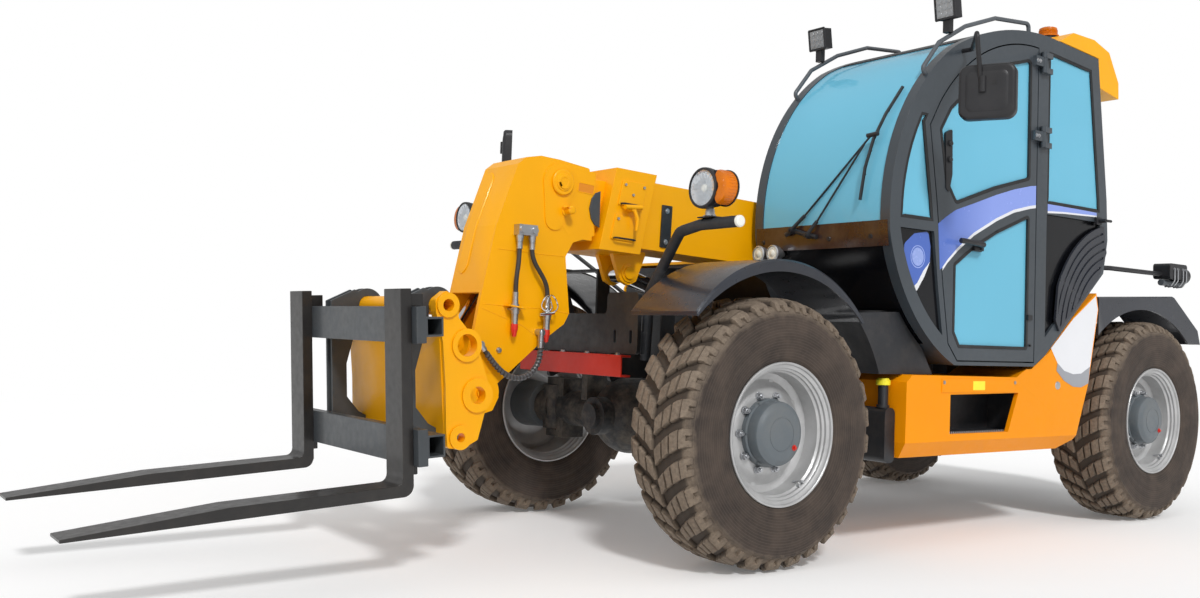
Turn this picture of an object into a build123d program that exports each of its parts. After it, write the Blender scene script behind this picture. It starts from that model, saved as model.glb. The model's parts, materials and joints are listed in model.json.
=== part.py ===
from build123d import *
import os
from math import atan2, cos, degrees, hypot, radians, sin

# Telehandler: a forklift with a telescopic boom, four steered wheels and a side cab.
# Millimetres. +X is forward, +Y is the cab side (left), +Z is up.
# Places are first measured from the front axle on the ground. export() then moves every
# piece by ORIGIN_SHIFT, so that the origin lies under the middle of the whole machine.

# ---------------------------------------------------------------- driving dimensions
ORIGIN_SHIFT = 661             # front axle ahead of the machine's middle
WHEELBASE = 3140
GAP = 0.3                      # pieces of one body that seat on each other
RUN = 8                        # running gap between moving pieces

# wheels
TYRE_R = 590
TYRE_WIDTH = 390
BEAD_STEP = 30                 # how far the tyre stands out past the rim on each side
WHEEL_Y = 885                  # tyre centre plane
RIM_R = 300
RIM_WIDTH = TYRE_WIDTH - 2 * BEAD_STEP
HUB_R = 150
HUB_FACE = 1050                # outer face of the hub cap
WHEEL_DISC = 26
KINGPIN_Y = 640
KINGPIN_R = 34
KNUCKLE_R = 95
AXLE_R = 92
AXLE_END = KINGPIN_Y - 105
DIFF_R = 190

# chassis
RAIL_Y = 240                   # inner face of each chassis plate
RAIL_T = 22
RAIL_TOP = 880
RAIL_BOTTOM = 560
ARCH_Z = 790                   # lower edge of the chassis plates above each axle
FRAME_FRONT = 340
TAIL = 480                     # chassis behind the rear axle
ARCH_HALF = 280                # chassis plates are cut up this far each side of an axle
FRAME_REAR = -WHEELBASE - TAIL
WEIGHT_HALF = 560
WEIGHT_NECK = 372               # half width between the steered rear tyres
BEAM_HALF = 420                # half length of the red beam and of the front cross plate
OUTER_W = 290
TOWER_SIDE = 27                # boom tower plates clear the boom by this
TOWER_IN = OUTER_W / 2 + TOWER_SIDE   # inner face of the boom tower plates
TOWER_T = 26

# boom
BOOM_PIVOT = (40 - WHEELBASE, 1580)
BOOM_RISE = 2.2                # degrees, as it stands
BOOM_AXIS_Z0 = 1584            # boom centre line above the front axle
OUTER_H = 336
OUTER_WALL = 12
OUTER_FRONT = 348
OUTER_REAR = BOOM_PIVOT[0] - 190
INNER_W = 230
INNER_H = 276
INNER_WALL = 10
INNER_REAR = BOOM_PIVOT[0] + 220
COLLAR_W = OUTER_W + 70
COLLAR_LENGTH = 250
COLLAR_LEAN = 66                # the collar's top lies further back than its foot
COLLAR_H = 404
BOOM_STROKE = 2400
PIVOT_PIN_R = 44

# head and its plates
HEAD_W = 290
HEAD_PLATE = 22
TILT_PIVOT = (985, 720)
TILT_PIN_R = 30
TILT_BASE = (571, 1694)
TILT_EYE = (1062, 935)

# lift cylinder
LIFT_BASE = (-1900, 720)
LIFT_EYE = (100, 1300)
LIFT_BARREL_R = 70
LIFT_ROD_R = 42
LIFT_PIN_R = 32
LIFT_EYE_R = 48
LIFT_EYE_W = 84
TILT_BARREL_R = 44
TILT_ROD_R = 24
TILT_EYE_PIN_R = 22
TILT_EYE_R = 44
TILT_EYE_W = 70

# carriage and forks, in the tilted frame of the fork shank
FORK_TOP = (1585, 1141)
FORK_TILT = 3.57
FORK_Y = 487.5
FORK_WIDTH = 145
FORK_T = 46
FORK_HEIGHT = 798
FORK_LENGTH = 1205
FORK_TIP_T = 12
FRAME_HALF_W = 600
RAIL_PLATE_H = 142
RAIL_PLATE_T = 42
FRAME_TUBE = 76
HOOK = (-265.2, -68.65)           # the coupler's cross tube, in fork terms
HOOK_R = 76
CROSS_TUBE_R = 40
EAR_Y = 425
EAR_T = 44

# cab
CAB_LEFT = 1075
CAB_RIGHT = 190
CAB_WALL = 45
GLASS_T = 6
DOOR_HINGE = (-1872, 1092)
DOOR_GAP = 7

# fenders
FENDER_R = 700
FENDER_T = 9
LINER_R = 738
CROWN_SEAT = (1328.8, 1342.2)   # rear and front crown above the bracket's forward edge
FENDER_IN = 620
FENDER_OUT = 1050

# lights
LAMP_X = 396

# engine side
POD_FRONT = -740
POD_REAR = -2400
POD_IN = -310
POD_OUT = -1040
POD_SIDE_T = 24
POD_BOTTOM = 560
POD_TOP = 1430
HOOD_HINGE = (-292, 1444)      # Y and Z of the hood's hinge pin

NODES = []


# ---------------------------------------------------------------- helpers
def export(name, *shapes):
    """Move the shapes to the machine's origin and write them as one node."""
    body = Compound(children=[Pos(ORIGIN_SHIFT, 0, 0) * s for shape in shapes for s in solids_of(shape)])
    export_step(body, f"parts/{name}.step")
    NODES.append(name)


def solids_of(shape):
    return shape.solids()


def block(x0, x1, y0, y1, z0, z1):
    return Pos((x0 + x1) / 2, (y0 + y1) / 2, (z0 + z1) / 2) * Box(x1 - x0, y1 - y0, z1 - z0)


def bar_x(x0, x1, y, z, r):
    return Pos((x0 + x1) / 2, y, z) * Rot(0, 90, 0) * Cylinder(r, x1 - x0)


def bar_y(x, z, r, y0, y1):
    return Pos(x, (y0 + y1) / 2, z) * Rot(90, 0, 0) * Cylinder(r, y1 - y0)


def bar_z(x, y, r, z0, z1):
    return Pos(x, y, (z0 + z1) / 2) * Cylinder(r, z1 - z0)


def rod_between(a, b, r, y=0):
    """A round bar in the XZ plane from a to b."""
    start, end = Vector(a[0], y, a[1]), Vector(b[0], y, b[1])
    plane = Plane(origin=start, z_dir=end - start)
    return plane * Pos(0, 0, (end - start).length / 2) * Cylinder(r, (end - start).length)


def side_plate(points, y0, y1, radius=0):
    """A plate in the XZ plane from its outline of (x, z) points, between two Y."""
    face = Plane.XZ * Polygon(*points, align=None)
    if radius:
        face = fillet(face.vertices(), radius)
    return Pos(0, y0, 0) * extrude(face, amount=y1 - y0, dir=(0, 1, 0))


def front_plate(points, x0, x1, radius=0):
    """A plate in the YZ plane from its outline of (y, z) points, between two X."""
    face = Plane.YZ * Polygon(*points, align=None)
    if radius:
        face = fillet(face.vertices(), radius)
    return Pos(x0, 0, 0) * extrude(face, amount=x1 - x0, dir=(1, 0, 0))


def flat_plate(points, z0, z1, radius=0):
    face = Polygon(*points, align=None)
    if radius:
        face = fillet(face.vertices(), radius)
    return Pos(0, 0, z0) * extrude(face, amount=z1 - z0, dir=(0, 0, 1))


def tube(points, r, bend, bore=0):
    path = FilletPolyline(*points, radius=bend) if len(points) > 2 else Line(*points)
    plane = Plane(origin=path @ 0, z_dir=path % 0)
    body = sweep(plane * Circle(r), path=path)
    if bore:
        body -= sweep(plane * Circle(bore), path=path)
    return body


def arc_band(cx, cz, r_in, r_out, start, end, y0, y1):
    """A curved sheet: a ring sector about (cx, cz), angles in degrees from +X."""
    def at(r, a):
        return (cx + r * cos(radians(a)), cz + r * sin(radians(a)))
    mid = (start + end) / 2
    edges = [ThreePointArc(at(r_out, start), at(r_out, mid), at(r_out, end)),
             Line(at(r_out, end), at(r_in, end)),
             ThreePointArc(at(r_in, end), at(r_in, mid), at(r_in, start)),
             Line(at(r_in, start), at(r_out, start))]
    face = Plane.XZ * make_face(edges)
    return Pos(0, y0, 0) * extrude(face, amount=y1 - y0, dir=(0, 1, 0))


def mirrored(shape):
    return mirror(shape, about=Plane.XZ)


def boom_z(x):
    """Height of the boom's centre line at x."""
    return BOOM_AXIS_Z0 + x * sin(radians(BOOM_RISE)) / cos(radians(BOOM_RISE))


def on_boom(shape):
    """Turn a shape that was made level about the front axle's x = 0 into the boom's line."""
    return Pos(0, 0, BOOM_AXIS_Z0) * Rot(0, -BOOM_RISE, 0) * shape


def on_fork(shape):
    """Put a shape made in fork terms (x ahead of the shank's face, z below its top) in place."""
    return Pos(FORK_TOP[0], 0, FORK_TOP[1]) * Rot(0, FORK_TILT, 0) * shape


# ---------------------------------------------------------------- wheels and axles
def tyre(y_sign, x):
    """Hollow tyre with open bead, plain crown: revolved section about the wheel axis."""
    half = TYRE_WIDTH / 2
    section = [(RIM_R + GAP, -RIM_WIDTH / 2 + 13), (RIM_R + GAP, -RIM_WIDTH / 2 + 40), (RIM_R + 34, -half + 45),
               (TYRE_R - 34, -half + 34), (TYRE_R - 34, half - 34), (RIM_R + 34, half - 45),
               (RIM_R + GAP, RIM_WIDTH / 2 - 40), (RIM_R + GAP, RIM_WIDTH / 2 - 13),
               (RIM_R + 60, half - 8), (RIM_R + 130, half), (TYRE_R - 74, half - 9), (TYRE_R - 12, half - 44),
               (TYRE_R, half - 70), (TYRE_R, -half + 70), (TYRE_R - 12, -half + 44),
               (TYRE_R - 74, -half + 9), (RIM_R + 130, -half), (RIM_R + 60, -half + 8)]
    face = Plane.XY * Polygon(*section, align=None)
    body = revolve(face, axis=Axis.Y)
    return Pos(x, y_sign * WHEEL_Y, TYRE_R) * body


def wheel(y_sign, x):
    """Steel rim with its disc and the hub's planetary end, as one welded and bolted unit."""
    half = RIM_WIDTH / 2
    rim = [(RIM_R - 14, -half - 8), (RIM_R + 12, -half - 8), (RIM_R + 12, -half + 2), (RIM_R, -half + 10),
           (RIM_R, -half + 60), (RIM_R - 26, -half + 90), (RIM_R - 26, half - 90), (RIM_R, half - 60),
           (RIM_R, half - 10), (RIM_R + 12, half - 2), (RIM_R + 12, half + 8), (RIM_R - 14, half + 8),
           (RIM_R - 14, half - 64), (RIM_R - 40, half - 94), (RIM_R - 40, -half + 94), (RIM_R - 14, -half + 64)]
    disc_y = 40
    disc = [(HUB_R - 10, disc_y + 30), (HUB_R + 24, disc_y + 30), (RIM_R - 60, disc_y), (RIM_R - 36, disc_y),
            (RIM_R - 36, disc_y - WHEEL_DISC), (RIM_R - 70, disc_y - WHEEL_DISC),
            (HUB_R + 16, disc_y + 4), (HUB_R - 10, disc_y + 4)]
    hub_in = KINGPIN_Y + KNUCKLE_R + GAP - WHEEL_Y
    hub_out = HUB_FACE - WHEEL_Y
    hub = [(0, hub_in), (HUB_R - 20, hub_in), (HUB_R - 20, disc_y - 40), (HUB_R, disc_y - 30), (HUB_R, disc_y + 60),
           (HUB_R - 14, disc_y + 68), (HUB_R - 20, hub_out - 20), (HUB_R - 34, hub_out - 4),
           (60, hub_out), (0, hub_out)]
    parts = [revolve(Polygon(*s, align=None), axis=Axis.Y) for s in (rim, disc, hub)]
    body = parts[0] + parts[1] + parts[2]
    body = body if y_sign > 0 else mirror(body, about=Plane.XZ)
    return Pos(x, y_sign * WHEEL_Y, TYRE_R) * body


def axle(x, with_cap):
    """Axle casing with its differential and a fork at each end for the knuckle."""
    z = TYRE_R
    body = bar_y(x, z, AXLE_R, -AXLE_END, AXLE_END)
    body += Pos(x, 0, z) * Sphere(DIFF_R)
    body += bar_x(x - 250, x + 235, 0, z, 92)
    for sign in (1, -1):
        yoke = block(x - 70, x + 70, AXLE_END - 40, AXLE_END + 14, z - 158, z + 158)
        for lo, hi in ((z + 122, z + 158), (z - 158, z - 122)):
            yoke += block(x - 62, x + 62, AXLE_END + 8, KINGPIN_Y, lo, hi)
            yoke += bar_z(x, KINGPIN_Y, 62, lo, hi)
        yoke -= bar_z(x, KINGPIN_Y, KINGPIN_R + GAP, z - 200, z + 200)
        body += yoke if sign > 0 else mirrored(yoke)
    for sign in (1, -1):
        pad = block(x - 110, x + 110, RAIL_Y - 14, RAIL_Y + RAIL_T + 14, z + 60, ARCH_Z - GAP)
        body += pad if sign > 0 else mirrored(pad)
    if with_cap:
        body += bar_x(x + 230, x + 262, 0, z, 60)
    return body


def knuckle(y_sign, x):
    """Steered hub carrier: a barrel with a king pin through it and a stub for the wheel."""
    z = TYRE_R
    body = bar_z(x, KINGPIN_Y, KNUCKLE_R - 15, z - 118, z + 118)
    body += bar_z(x, KINGPIN_Y, KINGPIN_R, z - 160, z + 160)
    body += bar_y(x, z, KNUCKLE_R, KINGPIN_Y - 10, KINGPIN_Y + KNUCKLE_R)
    body += block(x - 150, x - 60, KINGPIN_Y - 20, KINGPIN_Y + 40, z - 90, z - 60)
    return body if y_sign > 0 else mirrored(body)


# ---------------------------------------------------------------- chassis
def chassis_frame():
    plate = [(FRAME_FRONT, 760), (FRAME_FRONT, 1190), (FRAME_FRONT - 110, 1190), (FRAME_FRONT - 230, RAIL_TOP),
             (BOOM_PIVOT[0] + 600, RAIL_TOP), (BOOM_PIVOT[0] + 540, 1010), (FRAME_REAR, 1010), (FRAME_REAR, 640),
             (-WHEELBASE - ARCH_HALF, ARCH_Z), (ARCH_HALF - WHEELBASE, ARCH_Z), (ARCH_HALF + 160 - WHEELBASE, RAIL_BOTTOM),
             (-ARCH_HALF - 160, RAIL_BOTTOM), (-ARCH_HALF, ARCH_Z), (ARCH_HALF, ARCH_Z)]
    body = None
    for sign in (1, -1):
        y0, y1 = sorted((sign * RAIL_Y, sign * (RAIL_Y + RAIL_T)))
        rail = side_plate(plate, y0, y1, radius=20)
        body = rail if body is None else body + rail
    # front cross plate with its notch for the boom, and slots
    half = BEAM_HALF + 40
    face = [(-half, 905), (half, 905), (half, 1190), (225, 1190), (225, 1090), (-225, 1090), (-225, 1190), (-half, 1190)]
    cross = front_plate(face, FRAME_FRONT - 20, FRAME_FRONT, radius=24)
    for y in (-410, -290, 290, 410):
        cross -= Pos(FRAME_FRONT - 10, y, 985) * Rot(0, 90, 0) * extrude(SlotOverall(64, 18), amount=15, both=True)
    body += cross
    for x0, x1, z0, z1 in ((-620, -600, 600, 900), (-1650, -1630, 600, 690), (-2440, -2420, 600, 900)):
        body += block(x0, x1, -RAIL_Y - 5, RAIL_Y + 5, z0, z1)
    body += block(-2420, -640, -RAIL_Y - 5, RAIL_Y + 5, RAIL_BOTTOM + 5, RAIL_BOTTOM + 17)
    # boom tower
    px, pz = BOOM_PIVOT
    tower = [(px + 600, 940), (px + 400, 1200), (px + 160, pz + 90), (px + 80, pz + 130), (px - 80, pz + 130),
             (px - 160, pz + 60), (px - 380, 1250), (FRAME_REAR + 20, 940)]
    for sign in (1, -1):
        y0, y1 = sorted((sign * TOWER_IN, sign * (TOWER_IN + TOWER_T)))
        body += side_plate(tower, y0, y1, radius=30)
        y2, y3 = sorted((sign * TOWER_IN, sign * (RAIL_Y + RAIL_T)))
        body += bar_y(px, pz, 92, y2, y3)
        body += block(FRAME_REAR + 60, px + 560, y2, y3, 940, 962)
    body += block(FRAME_REAR + 80, FRAME_REAR + 100, -TOWER_IN - 5, TOWER_IN + 5, 700, 1180)
    body -= bar_y(px, pz, PIVOT_PIN_R + GAP, -400, 400)
    # lift cylinder's clevis
    bx, bz = LIFT_BASE
    for sign in (1, -1):
        y0, y1 = sorted((sign * 70, sign * 100))
        lug = side_plate([(bx - 160, RAIL_BOTTOM + 10), (bx - 75, bz + 60), (bx + 75, bz + 60), (bx + 200, RAIL_BOTTOM + 10)],
                         y0, y1, radius=8)
        body += lug
    body += bar_y(bx, bz, 34, -104, 104)
    for piece in (*fender_brackets(), *side_supports(), *cab_mounts()):
        body += piece
    return body


def counterweight():
    """Cast weight with its front corners cut away for the steered rear tyres."""
    outline = [(FRAME_REAR - GAP, 560), (FRAME_REAR - 260, 560), (FRAME_REAR - 330, 700), (FRAME_REAR - 330, 1060),
               (FRAME_REAR - 260, 1160), (FRAME_REAR - GAP, 1160)]
    body = side_plate(outline, -WEIGHT_HALF, WEIGHT_HALF, radius=30)
    for sign in (1, -1):
        cut = [(FRAME_REAR + 5, sign * WEIGHT_NECK), (FRAME_REAR - 80, sign * WEIGHT_NECK),
               (FRAME_REAR - 215, sign * WEIGHT_HALF), (FRAME_REAR - 215, sign * (WEIGHT_HALF + 20)),
               (FRAME_REAR + 5, sign * (WEIGHT_HALF + 20))]
        body -= flat_plate(cut, 500, 1200)
    body += block(FRAME_REAR - 4, FRAME_REAR + 50, -TOWER_IN + 8, TOWER_IN - 8, 720, 1000)
    return body


def tow_hitch():
    x0, x1 = FRAME_REAR - 330 - 110, FRAME_REAR - 330 - GAP
    body = block(x1 - 22, x1, -90, 90, 580 + 10, 850)
    body += block(x0, x1 - 22, -70, 70, 640, 670)
    body += block(x0, x1 - 22, -70, 70, 770, 800)
    body -= bar_z(x0 + 45, 0, 19, 600, 850)
    return body


def engine_block():
    body = block(-2150, -1250, -820, -460, 640, 1240)
    return fillet(body.edges().filter_by(Axis.Z), 40)


def engine_pod():
    """The fixed tray and end walls of the engine side, open above for the hood."""
    x0, x1 = POD_REAR, POD_FRONT
    body = block(x0, x1, POD_OUT, -RAIL_Y - RAIL_T - GAP, POD_BOTTOM, POD_BOTTOM + POD_SIDE_T)
    body += block(x0, x1, POD_OUT, POD_OUT + POD_SIDE_T, POD_BOTTOM, 800)
    end = [(POD_IN, POD_BOTTOM), (POD_IN, POD_TOP - 30), (POD_OUT + 120, POD_TOP - 30), (POD_OUT + 30, POD_TOP - 150),
           (POD_OUT + 30, 820), (POD_OUT, 800), (POD_OUT, POD_BOTTOM)]
    body += front_plate(end, x1 - POD_SIDE_T, x1)
    body += front_plate(end, x0, x0 + POD_SIDE_T)
    body += block(x0, x1, POD_IN - POD_SIDE_T, POD_IN, POD_BOTTOM, POD_TOP - 30)
    body += block(-2160, -1240, -700, -580, POD_BOTTOM, 640 - GAP)
    return body + hood_hinges()


def hood():
    """The engine cover: top and outer side in one sheet, with vents, on a hinge by the boom."""
    x0, x1 = POD_REAR, POD_FRONT
    edge = POD_IN - 2
    outer = [(edge, POD_TOP), (POD_OUT + 110, POD_TOP), (POD_OUT, POD_TOP - 150), (POD_OUT, 812),
             (POD_OUT + 14, 812), (POD_OUT + 14, POD_TOP - 156), (POD_OUT + 116, POD_TOP - 16), (edge, POD_TOP - 16)]
    body = front_plate(outer, x0, x1)
    for i in range(6):
        z = 900 + 55 * i
        body -= block(-1500, -900, POD_OUT - 5, POD_OUT + 30, z, z + 22)
    hy, hz = HOOD_HINGE
    for x in (x0 + 160, x1 - 240):
        body += block(x, x + 80, POD_IN - 10, hy, POD_TOP - 4, POD_TOP + 4)
        body += bar_x(x, x + 80, hy, hz, 12)
    return body


def hood_hinges():
    hy, hz = HOOD_HINGE
    body = None
    for x in (POD_REAR + 160, POD_FRONT - 240):
        for a, b in ((x - 34, x - GAP), (x + 80 + GAP, x + 114)):
            lug = front_plate([(POD_IN - 8, POD_TOP - 34), (hy - 16, POD_TOP - 34), (hy - 16, hz + 8), (hy - 6, hz + 16),
                               (hy + 6, hz + 16), (hy + 16, hz + 8), (hy + 16, POD_TOP - 60), (hy, POD_TOP - 90),
                               (POD_IN - 8, POD_TOP - 90)], a, b)
            body = lug if body is None else body + lug
    return body


def box_facet(inset):
    """The wedge below the sloping lower face of the side box, moved inward by a wall's thickness."""
    dy, dz = -0.83 * inset, 0.55 * inset
    wedge = [(1075 + dy, 550 + dz), (995 + dy, 430 + dz), (1075 + dy, 430 + dz)]
    return front_plate(wedge, -2600, -700)


def side_box():
    """Painted box below the cab: step opening, sloping lower face and the horn up behind the cab."""
    outline = [(-831, 453), (-2167, 454), (-2281, 502), (-2408, 812), (-2501, 1225), (-2478, 1318), (-2245, 1172),
               (-2006, 972), (-1928, 938), (-1770, 870), (-1717, 842), (-862, 850), (-820, 815), (-816, 528)]
    body = side_plate(outline, 640, 1060) - box_facet(0)
    inner = [(-848, 476), (-2160, 476), (-2262, 520), (-2384, 815), (-2462, 1190), (-2262, 1115), (-2020, 930),
             (-1930, 905), (-1760, 832), (-900, 824), (-846, 800)]
    body -= side_plate(inner, 664, 1036) - box_facet(24)
    opening = [(-1158, 755), (-1735, 761), (-1649, 562), (-1157, 562)]
    body -= side_plate(opening, 1000, 1100)
    body += block(-1640, -1165, 700, 1040, 552, 562)
    body += side_plate([(-1085, 766), (-1085, 834), (-1712, 832), (-1716, 764)], 1058, 1064)
    return body - cab_slab(600, CAB_LEFT + 5, -14)


FILLER = (-778, 955)


def side_tank():
    x, y = FILLER
    body = block(-813, -740, 640, 1000, 430, 690)
    body = fillet(body.edges().filter_by(Axis.Y), 30)
    return body + bar_z(x, y, 24, 680, 796) + bar_z(x, y, 31, 690, 702)


def fuel_cap():
    x, y = FILLER
    return bar_z(x, y, 34, 796 + GAP, 822) + bar_z(x, y, 27, 820, 830)


def arch_liner():
    """Moulded cover between the front left wheel, the cab and the side box."""
    r, x, z = LINER_R, -502, TYRE_R
    top, foot = z + (r * r - x * x) ** 0.5, 850 + GAP
    low_x = -(r * r - (foot - z) ** 2) ** 0.5
    mid = (r * cos(radians(144)), z + r * sin(radians(144)))
    edges = [ThreePointArc((x, top), mid, (low_x, foot)), Line((low_x, foot), (-1092, foot)),
             Line((-1092, foot), (-1016, 965)), Line((-1016, 965), (-912, 1080)), Line((-912, 1080), (-868, 1150)),
             Line((-868, 1150), (-640, 1140)), Line((-640, 1140), (x, top))]
    cheek = Pos(0, 640, 0) * extrude(Plane.XZ * make_face(edges), amount=360, dir=(0, 1, 0))
    hollow = Pos(0, 630, 0) * extrude(Plane.XZ * offset(make_face(edges), amount=-9), amount=356, dir=(0, 1, 0))
    return cheek - hollow - cab_slab(600, CAB_LEFT + 5, -6)


def side_supports():
    """Brackets under the cab that carry the side box and the tank."""
    y0, y1 = RAIL_Y + RAIL_T - 2, 640 - GAP
    return [block(-2300, -2240, y0, y1, 640, 780), block(-1200, -1140, y0, y1, 640, 780),
            block(-806, -752, y0, y1, 600, 680)]


def cross_beam():
    """Red channel across the front of the chassis, open upward at its back."""
    x0, x1, z0, z1, t = FRAME_FRONT + GAP, FRAME_FRONT + 60, 800, 900, 10
    body = block(x0, x1, -BEAM_HALF, BEAM_HALF, z0, z1)
    body -= block(x0 - 5, x1 - t, -BEAM_HALF - 5, BEAM_HALF + 5, z0 + t, z1 - t)
    return body


def fender_outline(rear):
    """Crown line and arch of a fender, about its axle: the arch is round, the crown is not."""
    z = TYRE_R
    if rear:
        arch = ThreePointArc((617, 1084), (30, z + 652), (-420, 1060))
        crown = Polyline((-420, 1060), (-578, 1054), (-545, 1140), (-233, 1342), (617, 1301), (617, 1084))
        return make_face([arch, *crown.edges()])
    front, back = (500, 1080), (-506, 1081)
    arch = ThreePointArc(front, (0, z + FENDER_R), back)
    crown = ThreePointArc((-524, 1092), (-8, 1344), (508, 1098))
    return make_face([arch, Line(back, (-524, 1092)), crown, Line((508, 1098), front)])


def fender(axle_x, y_sign, rear):
    """Moulded mudguard: a crowned sheet with a deep lip round its outer and front edges."""
    outline = fender_outline(rear)
    whole = Pos(0, FENDER_IN, 0) * extrude(Plane.XZ * outline, amount=FENDER_OUT - FENDER_IN, dir=(0, 1, 0))
    edges = [e for e in whole.edges().filter_by(Axis.Y, reverse=True)
             if abs(e.center().Y - FENDER_OUT) < 1 and e.center().Z > TYRE_R + FENDER_R + 1]
    whole = chamfer(edges, 9)
    hollow = None
    for drop in (0, 60):
        copy = Pos(0, FENDER_IN - 1, -FENDER_T - drop) * extrude(Plane.XZ * outline, amount=FENDER_OUT - FENDER_IN - 9,
                                                                 dir=(0, 1, 0))
        hollow = copy if hollow is None else hollow + copy
    body = whole - hollow
    x1 = 617 if rear else 508
    body += block(x1 - 14, x1 - 1, FENDER_IN, FENDER_OUT - 2, 1084 if rear else 1081, 1100)
    body = Pos(axle_x, 0, 0) * body
    return body if y_sign > 0 else mirrored(body)


def fender_brackets():
    parts = []
    for ax in (0, -WHEELBASE):
        for sign in (1, -1):
            top = CROWN_SEAT[ax == 0] - FENDER_T - GAP
            y0, y1 = RAIL_Y + RAIL_T - 2, FENDER_IN + 230
            arm = block(ax - 40, ax + 40, y0, y1, top - 12, top)
            arm += block(ax - 40, ax + 40, y0, y0 + 14, 850, top)
            parts.append(arm if sign > 0 else mirrored(arm))
    return parts


# ---------------------------------------------------------------- boom
def boom_outer():
    z0 = -OUTER_H / 2
    x0, x1 = OUTER_REAR, OUTER_FRONT
    body = block(x0, x1, -OUTER_W / 2, OUTER_W / 2, z0, -z0)
    body -= block(x0 - 5, x1 + 5, -OUTER_W / 2 + OUTER_WALL, OUTER_W / 2 - OUTER_WALL, z0 + OUTER_WALL, -z0 - OUTER_WALL)
    top, low = x1 - COLLAR_LEAN, x1 + 10
    outline = [(top - COLLAR_LENGTH, COLLAR_H / 2), (top, COLLAR_H / 2), (low, -COLLAR_H / 2),
               (low - COLLAR_LENGTH, -COLLAR_H / 2)]
    collar = side_plate(outline, -COLLAR_W / 2, COLLAR_W / 2)
    bore = block(x0, x1 + 50, -INNER_W / 2 - GAP, INNER_W / 2 + GAP, -INNER_H / 2 - GAP, INNER_H / 2 + GAP)
    ahead = [(top, COLLAR_H / 2), (x1 + 100, COLLAR_H / 2), (x1 + 100, -COLLAR_H / 2), (low, -COLLAR_H / 2)]
    body = body - side_plate(ahead, -OUTER_W, OUTER_W) + (collar - bore)
    body = on_boom(body)
    px, pz = BOOM_PIVOT
    body += bar_y(px, pz, 78, -TOWER_IN + 4, TOWER_IN - 4) - bar_y(px, pz, 200, -OUTER_W / 2, OUTER_W / 2)
    body += bar_y(px, pz, PIVOT_PIN_R, -RAIL_Y - RAIL_T - 12, RAIL_Y + RAIL_T + 12)
    lx, lz = LIFT_EYE
    for sign in (1, -1):
        y0, y1 = sorted((sign * 46, sign * 74))
        lug = side_plate([(lx - 110, lz + 110), (lx - 50, lz - 40), (lx, lz - 62), (lx + 50, lz - 40), (lx + 110, lz + 110)],
                         y0, y1, radius=12)
        lug += bar_y(lx, lz, LIFT_PIN_R + 14, *sorted((sign * 70, sign * 80)))
        body += lug + bar_y(lx, lz, LIFT_PIN_R, *sorted((sign * (LIFT_EYE_W / 2 + GAP), sign * 88)))
    return body


def boom_inner():
    z0 = -INNER_H / 2
    x0, x1 = INNER_REAR, 470
    body = block(x0, x1, -INNER_W / 2, INNER_W / 2, z0, -z0)
    body -= block(x0 - 5, x1 + 5, -INNER_W / 2 + INNER_WALL, INNER_W / 2 - INNER_WALL, z0 + INNER_WALL, -z0 - INNER_WALL)
    pad = block(x0 + 20, x0 + 240, -OUTER_W / 2 + OUTER_WALL + GAP, OUTER_W / 2 - OUTER_WALL - GAP,
                -OUTER_H / 2 + OUTER_WALL + GAP, OUTER_H / 2 - OUTER_WALL - GAP)
    pad -= block(x0 - 5, x0 + 300, -INNER_W / 2 + 2, INNER_W / 2 - 2, z0 + 2, -z0 - 2)
    return on_boom(body + pad)


def collar_point(back, down):
    """A point on the collar's side, as shares of its length and height from the top front corner."""
    x = OUTER_FRONT - COLLAR_LEAN + (COLLAR_LEAN + 10) * down - COLLAR_LENGTH * back
    return (x, COLLAR_H * (0.5 - down))


def boom_plates():
    """Wear-pad strips beside the boom and the access plates of its collar."""
    parts = []
    for sign in (1, -1):
        y0, y1 = sorted((sign * (OUTER_W / 2 + GAP), sign * (OUTER_W / 2 + 8)))
        parts.append(on_boom(fillet(block(-104, -38, y0, y1, -147, 66).edges().filter_by(Axis.Y), 4)))
        y0, y1 = sorted((sign * (COLLAR_W / 2 + GAP), sign * (COLLAR_W / 2 + 6)))
        for top, foot in ((0.14, 0.44), (0.56, 0.86)):
            outline = [collar_point(0.2, top), collar_point(0.8, top), collar_point(0.8, foot), collar_point(0.2, foot)]
            parts.append(on_boom(side_plate(outline, y0, y1, radius=6)))
    return parts


HEAD_SIDE = [(412, 1778), (585, 1800), (690, 1806), (770, 1790), (814, 1755), (917, 1466), (987, 1126), (1012, 985),
             (1070, 740), (1050, 660), (985, 628), (925, 660), (899, 741), (646, 952), (529, 1034), (502, 1084),
             (534, 1349), (494, 1418), (369, 1460)]


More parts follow.
